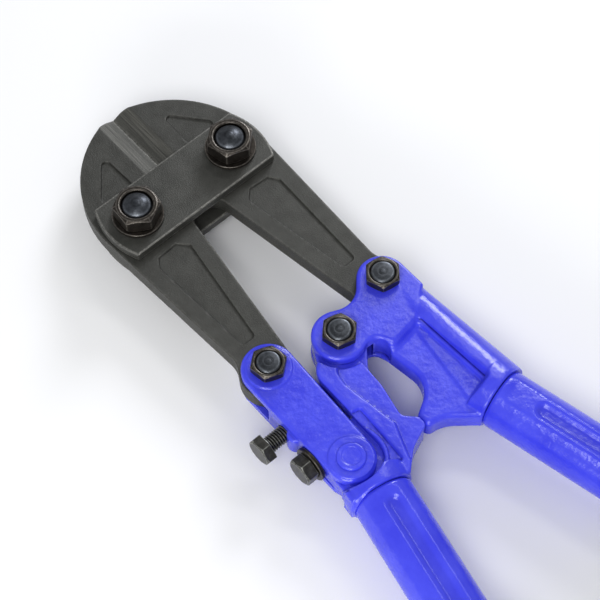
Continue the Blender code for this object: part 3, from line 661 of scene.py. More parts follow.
@dataclass(frozen=True)
class Finish:
    """A surface finish: two tones mixed by mottling, lighter on proud edges and darker in hollows. The
    lighter edges are rubbed bright on steel and a painted highlight on enamel, and the darker hollows are
    painted shade.

    Sizes are in millimetres. Grain is the fine relief, and mottle is the slow change of tone.
    """

    title: str
    light: str
    dark: str
    edge: str
    # Colour of the painted shade in hollows.
    hollow_shade_colour: str
    metallic: float
    roughness: float
    edge_roughness: float
    grain: float
    relief: float
    mottle: float = 6.0
    # Strength of the lighter edge tone: rubbed wear on steel, a painted highlight on enamel.
    wear_and_highlight: float = 1.0
    # Strength of the painted shade in hollows.
    hollow_shade_strength: float = 1.0
    ior: float = 1.5
    ripple: float = 0.0
    ground: str = ""

    def material(self) -> bpy.types.Material:
        """Makes the node material.

        Returns:
            The material.
        """
        made = bpy.data.materials.new(self.title)
        made.use_nodes = True
        tree = made.node_tree
        shader = tree.nodes["Principled BSDF"]
        shader.inputs["Metallic"].default_value = self.metallic
        shader.inputs["IOR"].default_value = self.ior
        place = add(tree, "ShaderNodeTexCoord", {}).outputs["Object"]
        mottle = add(
            tree,
            "ShaderNodeTexNoise",
            {"Scale": per_metre(self.mottle), "Detail": 4.0, "Roughness": 0.6},
            {"Vector": place},
        )
        tone = add(
            tree,
            "ShaderNodeMix",
            {"data_type": "RGBA", 6: linear(self.dark), 7: linear(self.light)},
            {0: self.spread(tree, mottle.outputs[0], 0.35, 0.65)},
        )
        fleck = add(
            tree,
            "ShaderNodeTexNoise",
            {"Scale": per_metre(FLECK_SIZE), "Detail": 5.0, "Roughness": 0.7},
            {"Vector": place},
        )
        # Lighter edge tone by how near a proud edge the corner is, broken into flecks: rubbed wear on steel,
        # a painted highlight on enamel.
        proud = add(tree, "ShaderNodeAttribute", {"attribute_name": "proud"}).outputs["Fac"]
        hollow = add(tree, "ShaderNodeAttribute", {"attribute_name": "hollow"}).outputs["Fac"]
        rubbed_and_highlit_mask = add(
            tree,
            "ShaderNodeMath",
            {"operation": "MULTIPLY", "use_clamp": True},
            {0: self.spread(tree, fleck.outputs[0], 0.3, 0.62, self.wear_and_highlight), 1: proud},
        )
        worn_and_highlit = add(
            tree,
            "ShaderNodeMix",
            {"data_type": "RGBA", 7: linear(self.edge)},
            {0: rubbed_and_highlit_mask.outputs[0], 6: tone.outputs[2]},
        )
        if self.ground:
            worn_and_highlit = self.stoned(tree, place, worn_and_highlit)
        # Painted shade: the dark hollow colour laid in grooves, pockets and recesses, by how near a hollow
        # edge the corner is.
        painted_shade = add(tree, "ShaderNodeMath", {"operation": "MULTIPLY", 1: self.hollow_shade_strength}, {0: hollow})
        final = add(
            tree,
            "ShaderNodeMix",
            {"data_type": "RGBA", "clamp_factor": True, 7: linear(self.hollow_shade_colour)},
            {0: painted_shade.outputs[0], 6: worn_and_highlit.outputs[2]},
        )
        tree.links.new(final.outputs[2], shader.inputs["Base Color"])
        gloss = add(
            tree,
            "ShaderNodeMapRange",
            {3: self.roughness * 0.88, 4: self.roughness * 1.12},
            {0: mottle.outputs[0]},
        )
        rough = add(
            tree,
            "ShaderNodeMix",
            {"data_type": "FLOAT", 3: self.edge_roughness},
            {0: rubbed_and_highlit_mask.outputs[0], 2: gloss.outputs[0]},
        )
        tree.links.new(rough.outputs[0], shader.inputs["Roughness"])
        grain = add(
            tree,
            "ShaderNodeTexNoise",
            {"Scale": per_metre(self.grain), "Detail": 6.0, "Roughness": 0.65},
            {"Vector": place},
        )
        bump = add(
            tree,
            "ShaderNodeBump",
            {"Strength": 1.0, "Distance": self.relief * METRES},
            {"Height": grain.outputs[0]},
        )
        if self.ripple:
            wave = add(
                tree,
                "ShaderNodeTexNoise",
                {"Scale": per_metre(RIPPLE_SIZE), "Detail": 2.0, "Roughness": 0.5},
                {"Vector": place},
            )
            bump = add(
                tree,
                "ShaderNodeBump",
                {"Strength": 1.0, "Distance": self.ripple * METRES},
                {"Height": wave.outputs[0], "Normal": bump.outputs[0]},
            )
        tree.links.new(bump.outputs[0], shader.inputs["Normal"])
        return made

    def stoned(
        self, tree: bpy.types.NodeTree, place: bpy.types.NodeSocket, under: bpy.types.Node
    ) -> bpy.types.Node:
        """Lays the ground tone, in lines along Y, over the faces that the stone has cut.

        Real stone marks are some tenths of a millimetre apart. They are drawn a little coarser so that
        they show.

        Args:
            tree: The material's node tree.
            place: Object coordinates.
            under: The mix node with the tone so far.

        Returns:
            The mix node with the ground tone laid over it.
        """
        along = add(tree, "ShaderNodeMapping", {"Scale": (1.0, 0.03, 1.0)}, {"Vector": place})
        lines = add(
            tree,
            "ShaderNodeTexNoise",
            {"Scale": per_metre(STONE_LINE_SIZE), "Detail": 3.0},
            {"Vector": along.outputs[0]},
        )
        mask = add(tree, "ShaderNodeAttribute", {"attribute_name": "ground"}).outputs["Fac"]
        share = add(
            tree,
            "ShaderNodeMath",
            {"operation": "MULTIPLY"},
            {0: self.spread(tree, lines.outputs[0], 0.3, 0.68), 1: mask},
        )
        return add(
            tree,
            "ShaderNodeMix",
            {"data_type": "RGBA", 7: linear(self.ground)},
            {0: share.outputs[0], 6: under.outputs[2]},
        )

    @staticmethod
    def spread(
        tree: bpy.types.NodeTree, source: bpy.types.NodeSocket, low: float, high: float, top: float = 1.0
    ) -> bpy.types.NodeSocket:
        """A value stretched from low..high to nought..top."""
        return add(tree, "ShaderNodeMapRange", {1: low, 2: high, 4: top}, {0: source}).outputs[0]


# Blackened forged steel: a matt oxide skin over scale-blasted steel, rubbed bright on its edges.
FORGED_BLACK = Finish(
    "black oxide forged steel", "#43433f", "#393935", "#7c7b75", "#141310",
    metallic=0.5, roughness=0.48, edge_roughness=0.34, grain=0.55, relief=0.2, wear_and_highlight=0.9, hollow_shade_strength=2.2,
    ground="#62615b",
)
# The same steel on the flat link plates, with finer blasting and brighter edges: rubbed wear with a painted
# highlight over it.
PLATE_BLACK = Finish(
    "black oxide plate steel", "#474743", "#3c3c38", "#b0aea7", "#141310",
    metallic=0.5, roughness=0.45, edge_roughness=0.3, grain=0.5, relief=0.2, wear_and_highlight=1.5, hollow_shade_strength=1.4,
)
# Oiled brownish black nuts, bright where the spanner has touched their corners, and darker in the recesses
# with painted shade.
NUT_BLACK = Finish(
    "blackened nut steel", "#3b3631", "#282420", "#7d7871", "#110f0d",
    metallic=0.8, roughness=0.34, edge_roughness=0.3, grain=0.4, relief=0.03, mottle=2.5, wear_and_highlight=0.7, hollow_shade_strength=0.9,
)
# Turned bolt ends: smooth, slightly blue steel with an oily sheen.
BOLT_BLUE = Finish(
    "blued turned steel", "#484b50", "#323539", "#7b8087", "#101113",
    metallic=0.8, roughness=0.34, edge_roughness=0.3, grain=0.5, relief=0.02, mottle=1.6, wear_and_highlight=0.8, hollow_shade_strength=0.9,
)
# Black phosphate screws, grey on the head's edges and corners: rubbed wear with a painted highlight over it.
SCREW_BLACK = Finish(
    "black phosphate screw steel", "#4b4a46", "#343330", "#9b9c96", "#141412",
    metallic=0.75, roughness=0.36, edge_roughness=0.3, grain=0.45, relief=0.03,
    mottle=2.0, wear_and_highlight=0.8, hollow_shade_strength=1.0,
)
# Thick glossy enamel sprayed over raw castings: deep blue, with a paler painted highlight on its edges and
# painted shade in its hollows.
CAST_ENAMEL = Finish(
    "blue enamel on cast iron", "#4147de", "#3439d4", "#7377f4", "#15118a",
    metallic=0.0, roughness=0.22, edge_roughness=0.18, grain=1.0, relief=0.06,
    mottle=9.0, wear_and_highlight=0.75, hollow_shade_strength=1.2, ripple=0.2,
)
# The same enamel on drawn tube, smoother and flowing in long soft waves.
TUBE_ENAMEL = Finish(
    "blue enamel on steel tube", "#4248df", "#363bd6", "#7377f4", "#15118a",
    metallic=0.0, roughness=0.2, edge_roughness=0.18, grain=1.6, relief=0.04,
    mottle=14.0, wear_and_highlight=0.4, hollow_shade_strength=0.8, ripple=0.16,
)
# Dipped vinyl sleeve: matt black with a soft moulded grain.
SLEEVE_VINYL = Finish(
    "black vinyl sleeve", "#1d1d20", "#17171a", "#2c2c30", "#0d0d0f",
    metallic=0.0, roughness=0.5, edge_roughness=0.42, grain=0.5, relief=0.05,
    mottle=8.0, wear_and_highlight=0.5, hollow_shade_strength=0.6, ior=1.46,
)


@dataclass
class Workshop:
    """Turns finished meshes into objects that ride on their bodies, and keeps each finish's material."""

    materials: dict[str, bpy.types.Material] = field(default_factory=dict)
    body_of: dict[str, str] = field(default_factory=dict)
    slot_of: dict[str, str] = field(default_factory=dict)
    triangles: int = 0

    def __post_init__(self) -> None:
        """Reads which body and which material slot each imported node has."""
        record = frame["record"]
        for body, nodes in record["behaviour"]["bodies"].items():
            self.body_of.update({node: body for node in nodes})
        self.slot_of = {part["node"]: part["material_slot"] for part in record["subparts"]}

    def finish(self, finish: Finish) -> bpy.types.Material:
        """The material of a finish, made the first time it is asked for.

        Args:
            finish: The finish.

        Returns:
            Its material.
        """
        if finish.title not in self.materials:
            self.materials[finish.title] = finish.material()
        return self.materials[finish.title]

    def place(
        self, name: str, mesh: Mesh, finish: Finish, node: str, crease: float = 32.0
    ) -> bpy.types.Object:
        """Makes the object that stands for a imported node.

        Args:
            name: The new piece's name.
            mesh: Its mesh, in millimetres from the centre pivot.
            finish: Its surface finish.
            node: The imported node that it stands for.
            crease: Angle in degrees past which an edge is drawn sharp.

        Returns:
            The object.
        """
        corners, faces, values = mesh
        faces = faces if isinstance(faces, list) else [faces]
        data = bpy.data.meshes.new(name)
        data.vertices.add(len(corners))
        points = (corners * METRES + HEART).astype(np.float32)
        data.vertices.foreach_set("co", points.ravel())
        sizes = np.concatenate([np.full(len(f), f.shape[1]) for f in faces])
        loops = np.concatenate([f.ravel() for f in faces]).astype(np.int32)
        data.loops.add(len(loops))
        data.loops.foreach_set("vertex_index", loops)
        data.polygons.add(len(sizes))
        data.polygons.foreach_set("loop_start", (np.cumsum(sizes) - sizes).astype(np.int32))
        for key, value in values.items():
            layer = data.attributes.new(key, "FLOAT", "POINT")
            layer.data.foreach_set("value", value.astype(np.float32))
        data.update(calc_edges=True)
        data.validate()
        data.shade_smooth()
        data.set_sharp_from_angle(angle=math.radians(crease))
        data.materials.append(self.finish(finish))
        made = bpy.data.objects.new(name, data)
        bpy.context.scene.collection.objects.link(made)
        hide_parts(node)
        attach(made, self.body_of[node])
        count = int((sizes - 2).sum())
        self.triangles += count
        log.info("%s: %d triangles, %s", name, count, finish.title)
        return made


# ---------------------------------------------------------------- sub-assemblies


JAW_TOP = reach("right_jaw", 2)[1]
PLATE_LOW, PLATE_TOP = reach("front_link_plate", 2)
CHEEK_TOP = reach("adjusting_arm", 2)[1]
HINGE = spot("right_jaw_bolt")
LINK = spot("right_link_bolt")
ARM_PIN = spot("arm_rivet")
CHEEK_LOW = JAW_TOP + 0.3


@dataclass
class Jaw:
    """One forged jaw: blunt head, ground bite, shallow pockets, tapered tail and round eye."""

    side: Side
    shop: Workshop
    edge_land: float = 0.2
    bite_width: float = 7.3
    bite_step: float = 2.9
    bite_rise: float = 1.62
    bite_start: float = 6.8
    pocket_depth: float = 0.75
    hinge_bore: float = 5.83
    tail_bore: float = 4.58

    def __post_init__(self) -> None:
        """Lays out the right-hand outlines."""
        hy = HINGE[1]
        lx, ly = LINK
        tip = reach("right_jaw", 1)[1]
        self.plan = Outline(
            (
                (lx, ly, 10.6),
                (lx + 15.1, ly + 12.9, -9.0),
                (-6.0, hy + 2.4, 43.0),
                (3.0, tip - 11.3, 11.3),
                (0.15, tip, 0.0),
                (0.15, hy + 0.6, 0.0),
                (1.4, hy - 8.9, 0.0),
                (1.4, hy - 15.3, -5.9),
            ),
            nick=0.25,
        )
        self.head_pocket = Outline(
            ((25.4, hy + 16.8, 1.4), (16.0, hy + 27.9, 1.7), (15.4, hy + 15.2, 1.4))
        )
        self.tail_pocket = Outline(
            (
                (25.7, ly + 16.0, 1.5),
                (28.4, ly + 58.6, 0.7),
                (26.3, ly + 61.6, 0.9),
                (18.6, ly + 61.8, 1.2),
                (15.9, ly + 59.0, 1.2),
                (23.0, ly + 16.0, 1.5),
            )
        )

    def shape(self, x: np.ndarray, y: np.ndarray, z: np.ndarray) -> np.ndarray:
        """Distance to the right-hand jaw.

        A plate with the plan outline, less the wedges above two planes that climb from the cutting
        edge, the pockets, whose walls lean outwards, and the two bores.

        Args:
            x: First coordinates, in millimetres from the centre pivot.
            y: Second coordinates.
            z: Heights from the middle plane.

        Returns:
            Signed distances, negative inside.
        """
        height = np.abs(z)
        plan = self.plan.distance(x, y)
        body = slab(plan, z, JAW_TOP, 0.4)
        lean = (JAW_TOP - self.bite_rise) / (self.bite_width - self.bite_step)
        outer = (height - JAW_TOP - lean * (x - self.bite_width)) / math.hypot(1.0, lean)
        steep = (self.bite_rise - self.edge_land) / (self.bite_step - 0.15)
        inner = (height - self.edge_land - steep * (x - 0.15)) / math.hypot(1.0, steep)
        bite = np.maximum(outer, inner)
        bite = np.where(y > HINGE[1] + self.bite_start, bite, -5.0)
        body = common(body, bite, 0.12)
        floor = JAW_TOP - self.pocket_depth
        for pocket in (self.head_pocket, self.tail_pocket):
            wall = pocket.distance(x, y) - 0.5 * (height - floor)
            body = cut(body, common(wall, floor - height, 0.2), 0.08)
        body = np.maximum(body, -disc(x, y, HINGE, self.hinge_bore))
        body = np.maximum(body, y - reach("right_jaw", 1)[1])
        return np.maximum(body, -disc(x, y, LINK, self.tail_bore))

    def build(self) -> None:
        """Skins the right-hand jaw, and turns it over to its own side."""
        low = (0.0, LINK[1] - 10.8, -JAW_TOP)
        high = (37.6, reach("right_jaw", 1)[1], JAW_TOP)
        corners, faces, values = skin(self.shape, low, high, 0.42)
        bite = 1.0 - ramp(corners[:, 0], self.bite_width - 0.3, self.bite_width + 0.1)
        second = ramp(corners[:, 0], self.bite_step - 0.2, self.bite_step + 0.2)
        face = ramp(corners[:, 0], 0.1, 0.3) * (0.55 + 0.45 * second)
        start = HINGE[1] + self.bite_start
        values["ground"] = bite * face * ramp(corners[:, 1], start, HINGE[1] + 7.2)
        corners = corners * [self.side, 1, 1]
        faces = faces if self.side > 0 else faces[:, ::-1]
        word = self.side.word
        self.shop.place(f"{word}_jaw_forging", (corners, faces, values), FORGED_BLACK, f"{word}_jaw")


@dataclass
class LinkPlates:
    """The two plates that hold the jaw bolts apart."""

    shop: Workshop
    half_length: float = 36.0
    sagitta: float = 3.0
    rim: float = 0.45
    bore_radius: float = 5.95

    def build(self) -> None:
        """Skins a bar with arched ends and two bores: an outline between two heights."""
        for word, name in (("front", "front_link_plate"), ("rear", "rear_link_plate")):
            low, high = reach(name, 1)
            half = (high - low) / 2
            radius = (half**2 + self.sagitta**2) / (2 * self.sagitta)
            bottom, top = reach(name, 2)
            centre = (bottom + top) / 2

            def shape(x: np.ndarray, y: np.ndarray, z: np.ndarray) -> np.ndarray:
                """Distance to the bar: its four sides, its arched ends, and its bores.

                Args:
                    x: First coordinates, in millimetres from the centre pivot.
                    y: Second coordinates.
                    z: Heights from the middle plane.

                Returns:
                    Signed distances, negative inside.
                """
                across = np.abs(x)
                end = np.hypot(across - self.half_length + radius, y - HINGE[1]) - radius
                plan = common(np.abs(y - HINGE[1]) - half, end, 0.5)
                body = slab(plan, z - centre, (top - bottom) / 2, self.rim)
                bore = np.hypot(across - HINGE[0], y - HINGE[1]) - self.bore_radius
                return np.maximum(body, -bore)

            mesh = skin(shape, (-self.half_length, low, bottom), (self.half_length, high, top), 0.42)
            self.shop.place(f"{word}_link_bar", mesh, PLATE_BLACK, name)


@dataclass
class PivotBolts:
    """The bolts, nuts and washers of the five pivots."""

    shop: Workshop
    steps: int = 96
    jaw_radius: float = 5.75
    jaw_flats: float = 16.0
    jaw_head: float = 6.4
    link_radius: float = 4.5
    link_flats: float = 12.0
    link_head: float = 4.3

    def bolt(self, name: str, radius: float, flats: float, head: tuple, tip: float, crown: float) -> None:
        """A bolt with a hexagon head behind and a crowned end in front.

        The end's height at radius r is the tip less the crown times the square of r over the radius,
        with a small raised pip and a shallow ring round it.

        Args:
            name: Its node.
            radius: Radius of the shank.
            flats: Width of the head across its flats.
            head: The head's two heights.
            tip: Height of the end's middle.
            crown: How far the end falls off at its rim.
        """
        r = np.linspace(0.0, 1.0, 26)
        cap = tip - crown * r**2.0 - 0.05 * ramp(r, 0.14, 0.22) + 0.05 * ramp(r, 0.36, 0.46)
        cap = cap - 0.45 * ramp(r, 0.86, 1.0) ** 2
        rise = [(radius * float(a), float(b)) for a, b in zip(r[::-1], cap[::-1])]
        low = head[0] + (head[1] - head[0]) / 2
        shank = turned([(0.0, low), (radius, low)] + rise, self.steps)
        ring = np.hypot(shank[0][:, 0], shank[0][:, 1]) / radius
        in_front = shank[0][:, 2] > tip - 2
        # The light ring where the rim starts to fall is a painted highlight; the dark ring in the shallow
        # groove round the pip is painted shade.
        shank[2]["proud"] = np.where(in_front, 0.9 * np.exp(-(((ring - 0.86) / 0.07) ** 2)), 0)
        shank[2]["hollow"] = np.where(in_front, 0.5 * np.exp(-(((ring - 0.3) / 0.07) ** 2)), 0)
        block = hex_block(flats, 0.0, head[0], head[1], top_chamfer=False)
        mesh = moved(together(shank, block), at(*spot(name)))
        self.shop.place(f"{name}_turned", mesh, BOLT_BLUE, name, 40.0)

    def nut(self, name: str, flats: float, bore: float, high: float, turn: float) -> None:
        """A chamfered nut.

        Args:
            name: Its node.
            flats: Width across its flats.
            bore: Radius of its hole.
            high: Height of its face.
            turn: Degrees it is turned about its axis.
        """
        low = reach(name, 2)[0]
        spin = Matrix.Rotation(math.radians(turn), 4, "Z")
        mesh = moved(hex_block(flats, bore, low, high), at(*spot(name)) @ spin)
        self.shop.place(f"{name}_hex", mesh, NUT_BLACK, name, 24.0)

    def washer(self, name: str, bore: float) -> None:
        """A flat washer with turned rims.

        Args:
            name: Its node.
            bore: Radius of its hole.
        """
        low, high = reach(name, 2)
        outer = (reach(name, 0)[1] - reach(name, 0)[0]) / 2
        ring = [(bore, low), (outer, low), (outer, high), (bore, high)]
        mesh = moved(turned(ring, self.steps, 0.16, closed=True), at(*spot(name)))
        self.shop.place(f"{name}_ring", mesh, NUT_BLACK, name, 30.0)

    def build(self) -> None:
        """Makes every pivot's set."""
        for word, turn in (("right", 12.0), ("left", -4.0)):
            low, tip = reach(f"{word}_jaw_bolt", 2)
            head = (low, low + self.jaw_head)
            self.bolt(f"{word}_jaw_bolt", self.jaw_radius, self.jaw_flats, head, tip, 2.3)
            self.washer(f"{word}_jaw_washer", self.jaw_radius + 0.15)
            self.nut(f"{word}_jaw_nut", self.jaw_flats, self.jaw_radius + 0.3, tip - 1.35, turn)
        for name, turn in (("right_link", 20.0), ("left_link", 8.0), ("centre", 14.0)):
            low, tip = reach(f"{name}_bolt", 2)
            head = (low, low + self.link_head)
            self.bolt(f"{name}_bolt", self.link_radius, self.link_flats, head, tip, 0.45)
            self.nut(f"{name}_nut", self.link_flats, self.link_radius + 0.25, tip - 0.55, turn)


def sideways(y: float) -> Matrix:
    """Lays +Z down to -X, on the line of a side screw at the height y."""
    return at(0.0, y) @ Matrix.Rotation(-math.pi / 2, 4, "Y")


@dataclass
class SideScrews:
    """The adjusting screw, the lock screw and its washer, all pointing in from the left."""

    shop: Workshop
    flats: float = 10.0
    pitch: float = 1.0
    adjusting_radius: float = 3.2
    lock_radius: float = 2.5
    washer_bore: float = 2.8

    def screw(self, name: str, radius: float, head: float, turn: float) -> None:
        """A threaded rod with a hexagon head whose outer face has turned-off corners.

        Args:
            name: Its node.
            radius: Radius over the thread.
            head: Height of the head.
            turn: Degrees it is turned about its axis.
        """
        out, end = reach(name, 0)
        y = spot(name)[1]
        shank = thread(radius, -end, -out - head * 0.6, self.pitch, 0.5)
        block = hex_block(self.flats, 0.0, -out - head, -out, low_chamfer=False)
        spin = Matrix.Rotation(math.radians(turn), 4, "Z")
        mesh = moved(together(shank, moved(block, spin)), sideways(y))
        self.shop.place(f"{name}_threaded", mesh, SCREW_BLACK, name, 30.0)

    def build(self) -> None:
        """Makes the two screws and the washer."""
        self.screw("adjusting_screw", self.adjusting_radius, 4.0, 10.0)
        self.screw("lock_screw", self.lock_radius, 4.6, 22.0)
        out, inner = reach("lock_washer", 0)
        radius = (reach("lock_washer", 2)[1] - reach("lock_washer", 2)[0]) / 2
        bore = self.washer_bore
        ring = [(bore, -inner), (radius, -inner), (radius, -out), (bore, -out)]
        mesh = moved(turned(ring, 80, 0.15, closed=True), sideways(spot("lock_washer")[1]))
        self.shop.place("lock_washer_ring", mesh, NUT_BLACK, "lock_washer", 30.0)


@dataclass
class Handle:
    """The line of one handle, and the tube and sleeve on it."""

    side: Side
    shop: Workshop
    collar_x: float = 28.4
    collar_y: float = -53.6
    splay: float = math.radians(12.3)
    tube_radius: float = 11.25
    tube_wall: float = 1.5
    tube_length: float = 164.0
    sleeve_length: float = 108.0
    sleeve_wall: float = 2.6
    collar_radius: float = 12.3
    tang_radius: float = 7.4

    def place(self) -> Matrix:
        """Puts the origin on the collar's face and +Z down the handle, with +Y up."""
        spin = Matrix.Rotation(self.side * self.splay, 4, "Z")
        return at(self.side * self.collar_x, self.collar_y) @ spin @ Matrix.Rotation(math.pi / 2, 4, "X")

    def along(self, x: np.ndarray, y: np.ndarray) -> tuple[np.ndarray, np.ndarray]:
        """How far a plan point is down the handle from the collar, and how far to its side.

        Args:
            x: First coordinates, in millimetres from the centre pivot.
            y: Second coordinates.

        Returns:
            Distances down the handle, and distances across it.
        """
        sin, cos = math.sin(self.splay) * self.side, math.cos(self.splay)
        dx, dy = x - self.side * self.collar_x, y - self.collar_y
        return dx * sin - dy * cos, dx * cos + dy * sin

    def press(self, angle: np.ndarray, along: np.ndarray) -> np.ndarray:
        """How far the press has sunk the tube wall at an angle and a distance from the collar.

        On the top and the bottom a flat is pressed, whose height is the radius less a sink that grows
        from nought, and an oval flute lies in it: its depth falls off with the distance from a line
        down the middle, relative to the flute's half width.

        Args:
            angle: Angles round the tube, in radians.
            along: Distances from the collar, in millimetres.

        Returns:
            How far the wall is sunk, in millimetres.
        """
        turn = np.minimum(np.abs(angle - math.pi / 2), np.abs(angle - 3 * math.pi / 2))
        start = 15.0 if self.side > 0 else 5.0
        sink = 0.85 * ramp(along, 0.5, 5.0) * (1.0 - ramp(along, 58.0, 74.0))
        flat = self.tube_radius - (self.tube_radius - sink) / np.maximum(np.cos(turn), 0.3)
        flat = np.logaddexp(0.0, flat / 0.12) * 0.12
        flat = np.where(turn < 1.0, flat, 0.0)
        aside = self.tube_radius * turn
        beyond = np.maximum(np.maximum(start + 3.0 - along, along - 50.0), 0.0)
        away = np.hypot(aside, beyond)
        flute = 1.25 * (1.0 - ramp(away, 1.4, 4.1))
        return flat + flute

    def tube(self) -> None:
        """The tube: radius at angle and distance is the drawn radius less what the press has sunk."""
        angle = np.linspace(0.0, 2 * math.pi, 168, endpoint=False)[None, :]
        pressed, plain_run = np.linspace(1.2, 78.0, 200), np.linspace(80.0, self.tube_length, 30)
        s = np.concatenate([[0.35, 0.5, 0.75], pressed, plain_run])[:, None]
        sink = self.press(angle, s)
        mouth = 0.45 * (1.0 - ramp(s, 0.3, 1.3))
        outer = self.tube_radius - sink - mouth
        inner = np.maximum(self.tube_radius - self.tube_wall - sink, 7.6)
        radius = np.concatenate([outer, inner[::-1]])
        height = np.concatenate([s, s[::-1]]) + 0.0 * angle
        rings = np.stack([radius * np.cos(angle), radius * np.sin(angle), height], axis=2)
        # Painted shade in the pressed flute.
        hollow = np.concatenate([0.25 * ramp(sink, 1.0, 2.0), 0.0 * sink])
        mesh = moved(swept(rings, {"hollow": hollow}, True), self.place())
        word = self.side.word
        self.shop.place(f"{word}_fluted_tube", mesh, TUBE_ENAMEL, f"{word}_handle_tube", 40.0)

    def sleeve(self) -> None:
        """The sleeve: a body with long shallow flutes between two ringed ends, domed at the back.

        Its outer radius at angle and distance is the body's, plus a flare by the mouth, less flutes
        that follow a rounded cosine of sixteen turns, less a row of rings near each end.
        """
        bore, wall, flare = self.tube_radius + 0.3, self.sleeve_wall, 1.4
        end = self.tube_length + 3.3
        start = end - self.sleeve_length
        angle = np.linspace(0.0, 2 * math.pi, 192, endpoint=False)[None, :]
        s = np.linspace(start, end, 420)[:, None]
        full = bore + wall
        outer = full + (flare - 0.05) * (1.0 - ramp(s, start + 4.5, start + 13.0)) + 0.0 * angle
        lip = np.sqrt(np.clip(1 - (1 - (s - start) / 1.5) ** 2, 0, 1))
        outer = outer - 1.5 * (1.0 - lip) * (s < start + 1.5)
        zone = ramp(s, start + 27.0, start + 31.0) * (1.0 - ramp(s, end - 21.0, end - 17.0))
        wave = 0.5 - 0.5 * np.cos(16 * angle)
        outer = outer - 0.75 * zone * wave**1.5
        rings = np.abs(np.mod((s - start - 13.0) / 3.2, 1.0) - 0.5) * 2
        band = ramp(s, start + 12.8, start + 13.4) * (1.0 - ramp(s, start + 25.4, start + 26.0))
        tail = ramp(s, end - 15.0, end - 14.4) * (1.0 - ramp(s, end - 5.8, end - 5.2))
        groove = 0.6 * (band + tail) * ramp(rings, 0.45, 0.95)
        outer = outer - groove
        dome = np.clip((s - end + 4.0) / 4.0, 0.0, 1.0)
        outer = outer - 4.0 * (1.0 - np.sqrt(np.maximum(1.0 - dome**2, 0.0))) * 0.55
        z = s + 0.0 * angle
        level = np.ones((1, angle.size))
        cap = outer[-1:] * np.linspace(0.96, 0.05, 8)[:, None]
        radius = np.concatenate([0.4 * level, bore * level, bore * level, outer, cap])
        floor = (end - 3.0) * level
        height = np.concatenate([floor, floor, start * level, z, np.repeat(z[-1:], 8, axis=0)])
        points = np.stack([radius * np.cos(angle), radius * np.sin(angle), height], axis=2)
        hollow = np.zeros(radius.shape)
        # Painted shade in the flutes and the ring grooves.
        hollow[3 : 3 + len(s)] = 0.6 * (zone * wave + groove)
        mesh = moved(swept(points, {"hollow": hollow}, False), self.place())
        word = self.side.word
        self.shop.place(f"{word}_vinyl_sleeve", mesh, SLEEVE_VINYL, f"{word}_grip", 40.0)

    def build(self) -> None:
        """Makes the tube and the sleeve."""
        self.tube()
        self.sleeve()

    def collar(self, x: np.ndarray, y: np.ndarray, z: np.ndarray) -> np.ndarray:
        """Distance to the casting's collar: a short disc across the handle's line."""
        s, aside = self.along(x, y)
        return slab(np.hypot(aside, z) - self.collar_radius, s + 3.5, 3.5, 0.8)

    def tang(self) -> Mesh:
        """The round bar of the casting that fills the tube.

        Returns:
            The bar's mesh.
        """
        radius, length = self.tang_radius, 62.0
        bar = turned([(0.0, -4.0), (radius, -4.0), (radius, length), (0.0, length)], 48, 0.4)
        return moved(bar, self.place())


